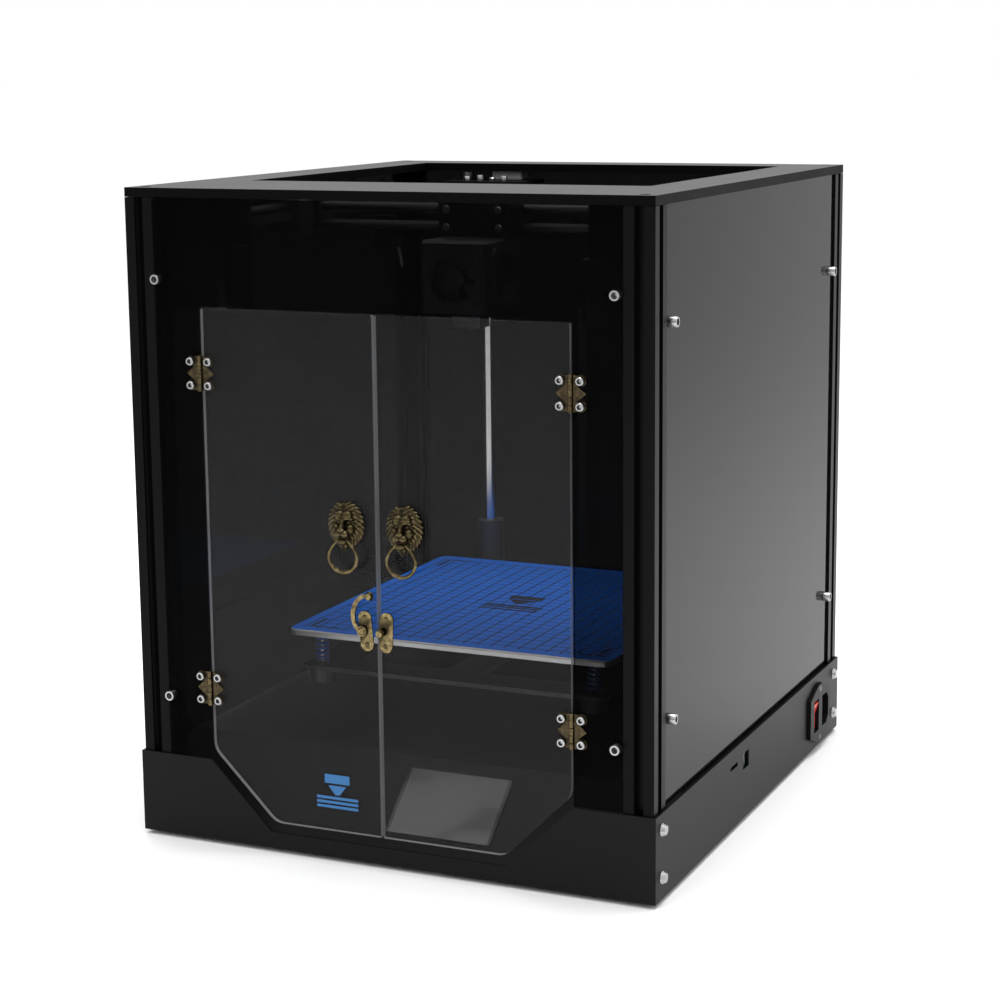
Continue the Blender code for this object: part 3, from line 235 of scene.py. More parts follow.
def steel(name="bright_steel", tone=0.4, roughness=0.22):
    """Machined steel, with painted shade in its hollows."""
    metal = (tone, tone, tone * 1.01)
    shader = Shader(name, metal, roughness, Metallic=1.0)
    marks = shader.noise(1800, 2)
    # painted shade: hollows such as screw sockets are darkened to near black
    shader.blend(shader.openness(1.6 * MM), (0.01, 0.01, 0.01), metal)
    shader.vary("Roughness", marks, roughness * 0.8, roughness * 1.4)
    return shader.material


def ground_rod():
    """Ground and polished shaft with very fine rings."""
    shader = Shader("ground_rod", (0.9, 0.9, 0.9), 0.16, Metallic=1.0)
    rings = shader.noise(2600, 1, (0.05, 0.05, 1))
    shader.bump(rings, 0.08, 0.00004)
    shader.vary("Roughness", rings, 0.1, 0.22)
    return shader.material


def satin_aluminium():
    """Aluminium plate brushed across its length."""
    shader = Shader("satin_aluminium", (0.6, 0.6, 0.61), 0.34, Metallic=0.95)
    brush = shader.noise(1200, 2, (0.04, 1, 1))
    shader.bump(brush, 0.15, 0.00005)
    shader.vary("Roughness", brush, 0.26, 0.42)
    return shader.material


def moulded(name="moulded_black", colour=(0.014, 0.014, 0.015), roughness=0.42):
    """Moulded plastic with a spark-eroded grain."""
    shader = Shader(name, colour, roughness)
    grain = shader.noise(2300, 3)
    shader.bump(grain, 0.2, 0.0001)
    shader.vary("Roughness", grain, roughness * 0.85, roughness * 1.15)
    return shader.material


def print_surface():
    """Blue print surface with a ruled grid, edge brackets and a nozzle emblem; its rim is silver."""
    shader = Shader("print_surface", (0.004, 0.11, 0.52), 0.55, Specular_IOR_Level=0.2)
    low, high = box("print_sheet")
    half_u, half_v = (high.x - low.x) / 2, (high.y - low.y) / 2
    middle_x, middle_y, _ = centre("print_sheet")
    x, y, _ = shader.split(shader.where)
    u = shader.math("SUBTRACT", x, middle_x)
    v = shader.math("SUBTRACT", y, middle_y)
    au, av = shader.math("ABSOLUTE", u), shader.math("ABSOLUTE", v)
    pitch, half_line, margin = 10 * MM, 0.6 * MM, 7 * MM
    bracket_inset, bracket_reach, bracket_half = 12 * MM, 34 * MM, 1.4 * MM

    def both(first, second):
        return shader.math("MULTIPLY", first, second)

    def near_line(value):
        return shader.math("LESS_THAN", shader.math("PINGPONG", value, pitch / 2), half_line)

    def between(value, first, last):
        return both(shader.math("GREATER_THAN", value, first * MM),
                    shader.math("LESS_THAN", value, last * MM))

    inside = both(shader.math("LESS_THAN", au, half_u - margin),
                  shader.math("LESS_THAN", av, half_v - margin))
    ruled = both(shader.math("MAXIMUM", near_line(u), near_line(v)), inside)
    taper = shader.math("MULTIPLY_ADD", v, 0.8, 3.0 * MM)
    emblem = both(shader.math("LESS_THAN", au, taper), between(v, -1, 10))
    for half, first, last in ((13, 12, 22), (22, -9, -5.5), (22, -15, -11.5), (22, -21, -17.5)):
        slab = both(shader.math("LESS_THAN", au, half * MM), between(v, first, last))
        emblem = shader.math("MAXIMUM", emblem, slab)
    corner = both(shader.math("GREATER_THAN", au, half_u - bracket_reach),
                  shader.math("GREATER_THAN", av, half_v - bracket_reach))
    edge = shader.math("MINIMUM", shader.math("SUBTRACT", half_u - bracket_inset, au),
                       shader.math("SUBTRACT", half_v - bracket_inset, av))
    bracket = both(shader.math("LESS_THAN", shader.math("ABSOLUTE", edge), bracket_half), corner)
    ink = shader.math("MAXIMUM", shader.math("MAXIMUM", ruled, bracket), emblem)
    mottle = shader.noise(120, 3)
    blue = shader.blend(mottle, (0.004, 0.1, 0.47), (0.006, 0.125, 0.56), None)
    printed = shader.blend(ink, blue, (0.004, 0.006, 0.012), None)
    rim = shader.math("LESS_THAN", shader.split(shader.normal())[2], 0.5)
    shader.blend(rim, printed, (0.7, 0.7, 0.7))
    grain = shader.noise(2600, 2)
    shader.bump(grain, 0.35, 0.00012)
    return shader.material


def carrier_paint():
    """Painted carrier whose bearings and nut are bare steel."""
    paint = (0.012, 0.012, 0.012)
    shader = Shader("carrier_paint", paint, 0.42)
    x, y, _ = shader.split(shader.where)
    mask = None
    for name, radius in (("z_rod_left", 10.8), ("z_rod_right", 10.8), ("lead_screw", 11.3)):
        shaft_x, shaft_y, _ = centre(name)
        reach = shader.sum_of_squares(shader.math("SUBTRACT", x, shaft_x),
                                      shader.math("SUBTRACT", y, shaft_y))
        near = shader.math("LESS_THAN", reach, (radius * MM) ** 2)
        mask = near if mask is None else shader.math("MAXIMUM", mask, near)
    shader.blend(mask, paint, (0.07, 0.07, 0.072))
    shader.vary("Metallic", mask, 0.0, 0.3)
    grain = shader.noise(1500, 2)
    shader.bump(grain, 0.2, 0.0001)
    return shader.material


def screen_glass():
    """Display under glass: a pale panel between two black borders."""
    shader = Shader("screen_glass", (0.09, 0.09, 0.095), 0.12, Specular_IOR_Level=0.8,
                    Coat_Weight=0.6)
    low, high = box("touchscreen")
    border_width = 7.2 * MM
    x = shader.split(shader.where)[0]
    across = shader.math("ABSOLUTE", shader.math("SUBTRACT", x, centre("touchscreen")[0]))
    border = shader.math("GREATER_THAN", across, (high.x - low.x) / 2 - border_width)
    shader.blend(border, (0.1, 0.1, 0.105), (0.01, 0.01, 0.01))
    smear = shader.noise(60, 3)
    shader.vary("Roughness", smear, 0.1, 0.2)
    return shader.material


def motor_paint():
    """Black motor body with the fine lines of its stacked plates."""
    shader = Shader("motor_paint", (0.012, 0.012, 0.012), 0.3, Metallic=0.4)
    z = shader.split(shader.where)[2]
    layers = shader.math("LESS_THAN", shader.math("PINGPONG", z, 0.5 * MM), 0.12 * MM)
    shader.blend(layers, (0.014, 0.014, 0.014), (0.006, 0.006, 0.006))
    shader.bump(shader.noise(1300, 2), 0.15, 0.0001)
    return shader.material


def circuit_board():
    """Solder mask with scattered pale pads, and bright socket shells along the outer edge."""
    mask = (0.01, 0.09, 0.04)
    shader = Shader("circuit_board", mask, 0.4)
    cells = shader.nodes.new("ShaderNodeTexVoronoi")
    cells.inputs["Scale"].default_value = 260
    shader.link(shader.where, cells.inputs["Vector"])
    pads = shader.math("LESS_THAN", cells.outputs["Distance"], 0.22)
    board = shader.blend(pads, mask, (0.4, 0.38, 0.3), None)
    low, high = box("mainboard")
    x, _, z = shader.split(shader.where)
    shell = shader.math("MULTIPLY", shader.math("GREATER_THAN", z, low.z + 2.5 * MM),
                        shader.math("GREATER_THAN", x, high.x - 16 * MM))
    shader.blend(shell, board, (0.75, 0.75, 0.76))
    shader.vary("Metallic", shell, 0.0, 0.9)
    return shader.material


def red_rocker():
    """Red moulded rocker, faintly lit from inside."""
    shader = Shader("red_rocker", (0.55, 0.02, 0.015), 0.25, Emission_Color=(0.9, 0.03, 0.01, 1),
                    Emission_Strength=0.12)
    shader.bump(shader.noise(900, 2), 0.1, 0.0001)
    return shader.material


def perforated():
    """Steel supply case with rows of vent holes."""
    half_pitch, hole_radius = 4 * MM, 1.6 * MM
    metal = (0.5, 0.5, 0.51)
    shader = Shader("perforated_steel", metal, 0.35, Metallic=1.0)
    x, y, _ = shader.split(shader.where)
    reach = shader.sum_of_squares(shader.math("PINGPONG", x, half_pitch),
                                  shader.math("PINGPONG", y, half_pitch))
    hole = shader.math("LESS_THAN", reach, hole_radius ** 2)
    shader.blend(hole, metal, (0.01, 0.01, 0.01))
    return shader.material


PAINT = powder_coat()
TRAY_PAINT = powder_coat("tray_powder_coat", 0.006, bolts=True)
ANODISED = anodised()
BRASS = antique_brass()
HINGE_BRASS = antique_brass("smoked_brass", (0.014, 0.011, 0.007), (0.16, 0.12, 0.06))
STEEL = steel()
DARK_STEEL = steel("dark_steel", 0.12, 0.35)
ROD = ground_rod()
ALUMINIUM = satin_aluminium()
PLASTIC = moulded()
SPRING_BLUE = moulded("spring_enamel", (0.02, 0.09, 0.4), 0.3)
BELT = moulded("belt_rubber", (0.01, 0.01, 0.01), 0.6)
MARK_BLUE = moulded("mark_ink", (0.02, 0.14, 0.36), 0.5)
WHITE = moulded("white_nylon", (0.55, 0.55, 0.53), 0.4)


def dress(nodes, material, bevel=0.0):
    """Gives CAD nodes their finish and, where asked, a small rounded edge."""
    for name in nodes:
        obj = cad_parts[name]
        for slot in obj.material_slots:
            slot.link = "OBJECT"
            slot.material = material
        if bevel:
            soften(obj, bevel)


def soften(obj, width):
    edge = obj.modifiers.new("soft_edge", "BEVEL")
    edge.width = width
    edge.segments = 2
    edge.limit_method = "ANGLE"
    edge.angle_limit = math.radians(SHARP_ANGLE)


def cad_finishes():
    """Gives every carried-over CAD node its finish, and smooth shading to the round ones."""
    dress(["base_tray"], TRAY_PAINT)
    dress(["motor_mount_left", "motor_mount_right", "carriage", "extruder"], PAINT)
    dress(["deck"], powder_coat("deck_powder_coat", 0.009, 0.14))
    # the cap's top gets a painted sheen, a paler grey standing in for the overhead reflection
    dress(["top_cap"], powder_coat("cap_powder_coat", 0.002, 0.04, painted_top_sheen=0.075), 0.5 * MM)
    dress([f"post_{a}_{b}" for a in ("front", "rear") for b in ("left", "right")], ANODISED)
    dress(["front_panel"], acrylic("fixed_front_acrylic", 0.66, 0.02, (0.001, 0.001, 0.001), edge=0.015))
    dress(["rear_panel"], acrylic("rear_acrylic", 0.94, 0.1, (0.003, 0.003, 0.003), edge=0.05))
    dress(["side_panel_left", "side_panel_right"],
          acrylic("side_acrylic", 0.93, 0.09, (0.004, 0.004, 0.004), edge=0.1, axis=0))
    dress(["door_left", "door_right"], acrylic("door_acrylic", 0.22, 0.32, edge=0.32))
    dress(["latch_base", "latch_keeper", "latch_arm"], BRASS, 0.25 * MM)
    dress(["touchscreen"], screen_glass())
    dress(["gantry_end_left", "gantry_end_right", "print_head", "front_fan", "side_fan"], PLASTIC)
    dress(["mains_inlet"], powder_coat("inlet_plastic", 0.006, 0.07), 0.3 * MM)
    dress([f"levelling_knob_{a}" for a in ("front_left", "front_right", "rear")], PLASTIC, 0.8 * MM)
    dress([f"foot_{a}_{b}" for a in ("front", "rear") for b in ("left", "right")],
          moulded("foot_rubber", (0.012, 0.012, 0.012), 0.75))
    dress(["z_rod_left", "z_rod_right"], ROD)
    # painted shade: the rods get a dark steel tone standing in for the dark enclosure they reflect
    dress(["y_rod_left", "y_rod_right", "x_rods"], steel("shade_darkened_steel", 0.1, 0.3))
    dress(["heated_bed"], ALUMINIUM)
    dress(["belt_pulley_left", "belt_pulley_right"], DARK_STEEL)
    dress(["power_supply"], perforated())
    dress(["hotend"], moulded("silicone_sock", (0.008, 0.008, 0.008), 0.6))
    dress(["print_sheet"], print_surface())
    dress(["bed_carrier"], carrier_paint(), 0.4 * MM)
    dress(["xy_motor_left", "xy_motor_right", "z_motor"], motor_paint(), 0.6 * MM)
    dress(["mainboard"], circuit_board())
    dress(["rocker_switch"], red_rocker(), 0.5 * MM)
    for name in ("z_rod_left", "z_rod_right", "y_rod_left", "y_rod_right", "x_rods", "bed_carrier",
                 "lead_screw", "belt_pulley_left", "belt_pulley_right", "latch_base",
                 "latch_keeper"):
        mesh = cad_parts[name].data
        mesh.shade_smooth()
        mesh.set_sharp_from_angle(angle=math.radians(SHARP_ANGLE))


# ---- mesh helpers ---------------------------------------------------------------------------------
def turn_to(axis):
    """Turns +Z to an axis."""
    return Vector((0, 0, 1)).rotation_difference(Vector(axis)).to_matrix().to_4x4()


def add_rod(shape, start, end, radius, end_radius=None, sides=24):
    start, end = Vector(start), Vector(end)
    bmesh.ops.create_cone(
        shape, cap_ends=True, segments=sides, radius1=radius,
        radius2=radius if end_radius is None else end_radius, depth=(end - start).length,
        matrix=Matrix.Translation((start + end) / 2) @ turn_to(end - start),
    )


def add_block(shape, low, high):
    low, high = Vector(low), Vector(high)
    size = high - low
    bmesh.ops.create_cube(shape, size=1, matrix=Matrix.Translation((low + high) / 2)
                          @ Matrix.Diagonal((*size, 1)))


def add_ball(shape, at, radii, detail):
    bmesh.ops.create_icosphere(shape, subdivisions=detail, radius=1,
                               matrix=Matrix.Translation(at) @ Matrix.Diagonal((*radii, 1)))


def add_outline(shape, loop, place, start, end):
    """A flat outline thickened from start to end; place turns (u, v, w) into a point."""
    near = [shape.verts.new(place(u, v, start)) for u, v in loop]
    far = [shape.verts.new(place(u, v, end)) for u, v in loop]
    shape.faces.new(near)
    shape.faces.new(list(reversed(far)))
    for i in range(len(loop)):
        j = (i + 1) % len(loop)
        shape.faces.new((near[i], near[j], far[j], far[i]))


def arc(hub, radius, first, last, steps):
    turn = (last - first) / steps
    return [(hub[0] + radius * math.cos(first + turn * i),
             hub[1] + radius * math.sin(first + turn * i)) for i in range(steps + 1)]


def add_screw(shape, at, axis, radius, height):
    """Cap-head screw with a chamfered rim and a socket whose floor is a hexagon."""
    turn = Matrix.Translation(Vector(at)) @ turn_to(Vector(axis).normalized())
    rings = [(radius, 0), (radius, height * 0.86), (radius * 0.88, height),
             (radius * 0.6, height), (radius * 0.6, height * 0.25)]
    sides = 24
    wedge = math.pi / 3
    loops = []
    for i, (r, h) in enumerate(rings):
        loop = []
        for k in range(sides):
            a = 2 * math.pi * k / sides
            reach = r
            if i == len(rings) - 1:
                reach = r * math.cos(wedge / 2) / math.cos(a % wedge - wedge / 2)
            loop.append(shape.verts.new(turn @ Vector((reach * math.cos(a), reach * math.sin(a), h))))
        loops.append(loop)
    shape.faces.new(list(reversed(loops[0])))
    shape.faces.new(loops[-1])
    for low, high in zip(loops, loops[1:]):
        for k in range(sides):
            j = (k + 1) % sides
            shape.faces.new((low[k], low[j], high[j], high[k]))


def finish(name, shape, body, material, bevel=0.0, smooth=SHARP_ANGLE):
    """Turns a bmesh into a piece that rides on a body."""
    bmesh.ops.recalc_face_normals(shape, faces=shape.faces)
    mesh = bpy.data.meshes.new(name)
    shape.to_mesh(mesh)
    shape.free()
    mesh.shade_smooth()
    mesh.set_sharp_from_angle(angle=math.radians(smooth))
    piece = bpy.data.objects.new(name, mesh)
    bpy.context.scene.collection.objects.link(piece)
    mesh.materials.append(material)
    if bevel:
        soften(piece, bevel)
    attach(piece, body)
    return piece


def tube(name, points, radius, body, material, closed=False, resolution=4):
    """A round wire along points (x, y, z) or (x, y, z, thickness)."""
    curve = bpy.data.curves.new(name, "CURVE")
    curve.dimensions = "3D"
    curve.bevel_depth = radius
    curve.bevel_resolution = resolution
    curve.use_fill_caps = not closed
    spline = curve.splines.new("POLY")
    spline.points.add(len(points) - 1)
    for point, at in zip(spline.points, points):
        point.co = (*at[:3], 1)
        if len(at) > 3:
            point.radius = at[3]
    spline.use_cyclic_u = closed
    piece = bpy.data.objects.new(name, curve)
    bpy.context.scene.collection.objects.link(piece)
    curve.materials.append(material)
    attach(piece, body)
    return piece


# ---- screws ---------------------------------------------------------------------------------------
def panel_screws():
    """Screws through the front, side and rear panels into the posts."""
    shape = bmesh.new()
    x = box("front_panel")[1].x - 3.2 * MM
    for side in (-1, 1):
        for z in FRONT_SCREW_Z:
            add_screw(shape, (side * x, FACE, z), (0, -1, 0), PANEL_HEAD, 5.6 * MM)
        low, high = box("side_panel_right")
        for y in (low.y + 8.8 * MM, high.y - 8.8 * MM):
            for z in PANEL_SCREW_Z:
                add_screw(shape, (side * high.x, y, z), (side, 0, 0), PANEL_HEAD, 5.2 * MM)
        rear = box("rear_panel")[1].y
        for z in PANEL_SCREW_Z:
            add_screw(shape, (side * x, rear, z), (0, 1, 0), PANEL_HEAD, 2.6 * MM)
    finish("panel_screws", shape, "frame", STEEL)


def cap_screws():
    """Sunk screws that hold the cap to the posts."""
    shape = bmesh.new()
    top = box("top_cap")[1].z
    for a in ("front", "rear"):
        for b in ("left", "right"):
            x, y, _ = centre(f"post_{a}_{b}")
            end = box(f"post_{a}_{b}")[1].z
            add_screw(shape, (x, y, end + 0.2 * MM), (0, 0, 1), 3.3 * MM, top - end - 1.2 * MM)
    finish("cap_screws", shape, "frame", DARK_STEEL)


# ---- hinges ---------------------------------------------------------------------------------------
def leaf_loop(side):
    """One half of the butterfly: two round lobes and a pointed middle."""
    lobe = 3.5 * MM
    half = [(0.2 * MM, 2.2 * MM), (0.2 * MM, LEAF_HALF)]
    half += arc(LEAF_HOLE, lobe, math.radians(125), math.radians(-62), 9)
    half += [(4.6 * MM, 4.6 * MM)]
    lower = [(9.9 * MM, 0)] + [(u, -v) for u, v in reversed(half)]
    return [(side * u, v) for u, v in half + lower]


def leaf(name, x, z, side, body, replaced=None):
    """A leaf with its knuckles and screws. The fixed leaf has three knuckles, the door's has two."""
    face = FACE - CAST_BACK
    shape = bmesh.new()

    def place(u, v, w):
        return Vector((x + u, face - w, z + v))

    add_outline(shape, leaf_loop(side), place, 0.0, LEAF_THICK)
    fixed, moving = ((-11.6, -7.2), (-2.3, 2.3), (7.2, 11.6)), ((-7.0, -2.5), (2.5, 7.0))
    for low, high in fixed if replaced else moving:
        add_rod(shape, place(0, low * MM, PIN_RADIUS), place(0, high * MM, PIN_RADIUS),
                PIN_RADIUS, sides=16)
    piece = finish(name, shape, body, HINGE_BRASS, 0.2 * MM)
    if replaced:
        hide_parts(replaced)
    screws = bmesh.new()
    for sz in (-1, 1):
        at = place(side * LEAF_HOLE[0], sz * LEAF_HOLE[1], LEAF_THICK)
        add_screw(screws, at, (0, -1, 0), 2.65 * MM, 2.6 * MM)
    finish(name + "_screws", screws, body, STEEL)


def hinges():
    for word, side in (("left", -1), ("right", 1)):
        for level in ("lower", "upper"):
            node = f"hinge_{level}_{word}"
            z = centre(node)[2]
            leaf(f"fixed_leaf_{level}_{word}", side * HINGE_X, z, side, "frame", node)
            leaf(f"door_leaf_{level}_{word}", side * HINGE_X, z, -side, f"{word}_door")


# ---- lion pulls -----------------------------------------------------------------------------------
def lion(word):
    """Cast lion head, built from rounded masses that are melted together."""
    x = centre(f"pull_{word}")[0]
    z = box(f"pull_{word}")[1].z - 16 * MM + PULL_LIFT
    face = FACE - CAST_BACK
    shape = bmesh.new()

    def ball(u, v, w, radii, detail=2):
        """A ball or ellipsoid; u runs across the face, v up it and w out of it."""
        radii = radii if isinstance(radii, tuple) else (radii,) * 3
        add_ball(shape, (x + u * MM, face - w * MM, z + v * MM),
                 (radii[0] * MM, radii[2] * MM, radii[1] * MM), detail)

    def strand(stations, flat=0.8):
        """A lock of hair or a ridge: close-set balls between stations (u, v, w, radius)."""
        for first, last in zip(stations, stations[1:]):
            for k in range(7):
                t = k / 6
                u, v, w, r = (a + (b - a) * t for a, b in zip(first, last))
                ball(u, v, w, (r, r, r * flat), 1)

    # back plate, then the two rows of the mane
    ball(0, 0.4, 1.4, (11.6, 14.0, 2.2), 3)
    for count, near, far, lift in ((27, 0.66, 1.04, 1.9), (21, 0.52, 0.84, 3.3)):
        for i in range(count):
            a = 2 * math.pi * i / count + math.pi / 2
            curl = -0.32 * math.copysign(1, math.cos(a))
            stations = []
            for t, r in ((0, 1.05), (0.5, 1.1), (0.8, 0.85), (1, 0.45)):
                reach, turn = near + (far - near) * t, a + curl * t * t
                stations.append((12.3 * reach * math.cos(turn), 0.4 + 14.8 * reach * math.sin(turn),
                                 lift + 0.6 * math.sin(math.pi * t) - 0.6 * t, r))
            strand(stations)
    # skull, muzzle and nose
    ball(0, 1.0, 2.6, (7.2, 8.8, 2.5), 3)
    ball(0, -6.0, 5.0, (4.2, 3.6, 2.8), 3)
    strand(((0, 5.6, 6.3, 1.7), (0, 1.6, 7.6, 1.45), (0, -1.2, 8.8, 1.5)), 0.9)
    ball(0, -1.7, 9.3, (2.5, 1.3, 1.2))
    # on each side: forehead, brow, eye, cheek, lip and beard
    for side in (-1, 1):
        ball(side * 2.7, 6.9, 4.9, (3.6, 3.2, 2.9), 3)
        strand(((side * 1.2, 4.7, 6.8, 1.1), (side * 3.4, 5.4, 6.9, 1.2), (side * 5.8, 4.8, 5.4, 0.9)))
        ball(side * 3.5, 2.3, 4.7, 0.95)
        ball(side * 4.9, -1.7, 5.0, (2.8, 3.4, 2.8), 3)
        ball(side * 2.3, -4.4, 8.0, (2.8, 2.4, 2.5), 3)
        strand(((side * 1.6, -11.5, 6.0, 1.9), (side * 1.3, -14.6, 4.2, 1.3),
                (side * 0.5, -16.6, 2.6, 0.6)))
    ball(0, -9.7, 7.4, (3.2, 1.9, 2.4), 3)
    bmesh.ops.bisect_plane(
        shape, geom=shape.verts[:] + shape.edges[:] + shape.faces[:], plane_co=(0, face, 0),
        plane_no=(0, 1, 0), clear_outer=True)
    rim = [e for e in shape.edges if e.is_boundary]
    bmesh.ops.holes_fill(shape, edges=rim)
    head = finish(f"lion_{word}", shape, f"{word}_door", BRASS)
    melt = head.modifiers.new("melt", "REMESH")
    melt.mode = "VOXEL"
    melt.voxel_size = 0.42 * MM
    melt.use_smooth_shade = True
    ease = head.modifiers.new("ease", "SMOOTH")
    ease.factor = 0.5
    ease.iterations = 2
    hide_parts(f"pull_{word}")


def ring(word):
    """Drop ring, egg-shaped and thicker at the bottom."""
    low, high = box(f"ring_{word}")
    x, y, _ = centre(f"ring_{word}")
    inset = 1 * MM
    top, half = high.z - inset + PULL_LIFT, (high.z - low.z) / 2 - inset
    width = (high.x - low.x) / 2 - inset
    turns = 56
    points = []
    for i in range(turns):
        a = 2 * math.pi * i / turns
        thick = 0.9 + 0.4 * (1 - math.cos(a)) / 2
        pinch = 1 - 0.3 * max(0.0, math.cos(a)) ** 1.3
        points.append((x + width * pinch * math.sin(a), y, top - half + half * math.cos(a), thick))
    wire = tube(f"drop_ring_{word}", points, 0.95 * MM, f"{word}_ring", BRASS,
                closed=True)
    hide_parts(f"ring_{word}")


def latch_screws():
    """Near-flush screw heads, two on the latch plate and two on its keeper."""
    for node, body in (("latch_base", "left_door"), ("latch_keeper", "right_door")):
        low, high = box(node)
        x = centre(node)[0]
        face = FACE - 1.3 * MM
        lean = -0.7 * MM if node == "latch_base" else 0.35 * MM
        inset = 4.2 * MM
        shape = bmesh.new()
        for z, shift in ((high.z - inset, lean), (low.z + inset, -lean)):
            add_rod(shape, (x + shift, face, z), (x + shift, face - 0.2 * MM, z), 2 * MM, 1.5 * MM)
        finish(f"{node}_screws", shape, body, BRASS, 0.15 * MM)


# ---- printed mark on the left door ----------------------------------------------------------------
def door_mark():
    """A plain nozzle above three printed layers."""
    face = FACE - 0.02 * MM
    middle, base = -36 * MM, 36 * MM
    shape = bmesh.new()

    def place(u, v, w):
        return Vector((middle + u * MM, face - w, base + v * MM))

    heater = [(-9, 16), (9, 16), (9, 22), (-9, 22)]
    nozzle = [(-6.5, 14.6), (6.5, 14.6), (1.6, 8.4), (-1.6, 8.4)]
    layers = [[(-15, v), (15, v), (15, v + 1.8), (-15, v + 1.8)] for v in (5.4, 2.4, -0.6)]
    for loop in (heater, nozzle, *layers):
        add_outline(shape, loop, place, 0.0, 0.06 * MM)
    finish("door_mark", shape, "left_door", MARK_BLUE)


# ---- bed details ----------------------------------------------------------------------------------
def bed_springs():
    """Blue springs on their studs, between the carrier and the heated plate."""
    carrier, wire = 3.3 * MM, 0.9 * MM
    plate = box("heated_bed")[0].z
    for name in ("front_left", "front_right", "rear"):
        x, y, _ = centre(f"levelling_knob_{name}")
        knob = box(f"levelling_knob_{name}")[1].z
        foot = knob + carrier + wire
        height = plate - wire - foot
        turns, steps = 6, 96
        points = [(x + 4 * MM * math.cos(2 * math.pi * turns * i / steps),
                   y + 4 * MM * math.sin(2 * math.pi * turns * i / steps),
                   foot + height * i / steps) for i in range(steps + 1)]
        tube(f"bed_spring_{name}", points, 0.75 * MM, "bed", SPRING_BLUE,
             resolution=2)
        shape = bmesh.new()
        add_rod(shape, (x, y, knob + 0.1 * MM), (x, y, plate - 0.1 * MM), 1.9 * MM, sides=12)
        finish(f"bed_stud_{name}", shape, "bed", STEEL)


def lead_thread():
    """The lead screw's thread as a wound ridge over its core, with the coupler at its foot."""
    low, high = box("lead_screw")
    x, y, _ = centre("lead_screw")
    coupler_top = low.z + 20 * MM
    shape = bmesh.new()
    pitch, steps = 2 * MM, 12
    turns = int((high.z - coupler_top) / pitch) - 1
    loops = []
    for i in range(turns * steps + 1):
        a = 2 * math.pi * i / steps
        z = coupler_top + pitch * i / steps
        loops.append([
            shape.verts.new((x + r * MM * math.cos(a), y + r * MM * math.sin(a), z + h * MM))
            for r, h in ((3.3, 0.0), (3.97, 0.45), (3.97, 0.95), (3.3, 1.4))
        ])
    for a, b in zip(loops, loops[1:]):
        for k in range(3):
            shape.faces.new((a[k], b[k], b[k + 1], a[k + 1]))
    add_rod(shape, (x, y, coupler_top - 1 * MM), (x, y, high.z), 3.35 * MM, sides=20)
    add_rod(shape, (x, y, low.z), (x, y, coupler_top), 9.5 * MM, sides=28)
    screw = finish("threaded_screw", shape, "lead_screw", DARK_STEEL, smooth=50)
    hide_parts("lead_screw")


# ---- gantry details -------------------------------------------------------------------------------
def idlers():
    """Flanged belt idlers on the gantry's end blocks, with screws above and below."""
    flange, head = 7.5 * MM, 2.7 * MM
    for word, side in (("left", -1), ("right", 1)):
        low, high = box(f"gantry_end_{word}")
        x, y, _ = centre(f"gantry_end_{word}")
        shape = bmesh.new()
        bright = bmesh.new()
        for dy in (-15 * MM, 15 * MM):
            at = (x - side * 6 * MM, y + dy)
            for first, last, radius in ((0.6, 7, IDLER_RADIUS), (0.3, 1.0, flange), (6.8, 7.5, flange)):
                add_rod(shape, (*at, high.z + first * MM), (*at, high.z + last * MM), radius)
            add_screw(bright, (*at, high.z + 7.5 * MM), (0, 0, 1), head, 1 * MM)
            add_screw(bright, (*at, low.z), (0, 0, -1), head, 2.6 * MM)
        finish(f"gantry_idlers_{word}", shape, "gantry", PLASTIC)
        finish(f"gantry_screws_{word}", bright, "gantry", STEEL)


def endstop():
    """Switch under the left rod at the rear: a bent silver lever above a two-part plug."""
    wall = box("side_panel_left")[1].x
    y = box("y_rod_left")[1].y - 38 * MM

    def at(out, along, up):
        return (wall + out * MM, y + along * MM, ENDSTOP_Z + up * MM)

    shape = bmesh.new()
    add_block(shape, at(WALL_GAP / MM, -8, 0), at(12, 8, 24))
    add_block(shape, at(11, -4, 0), at(20, 4, 9))
    finish("endstop_body", shape, "frame", PLASTIC, 1 * MM)
    lever = [at(13 + 13 * t, 0, 11 + 5 * t * t) for t in (0, 0.25, 0.5, 0.75, 1)]
    tube("endstop_lever", lever, 1.1 * MM, "frame", STEEL)
    shape = bmesh.new()
    add_rod(shape, at(16, 0, 0), at(18, 0, -8), 2.6 * MM, 2.2 * MM)
    add_rod(shape, at(18.4, 0, -8), at(20, 0, -16), 2.4 * MM, 1.9 * MM)
    finish("endstop_plug", shape, "frame", STEEL, 0.3 * MM)


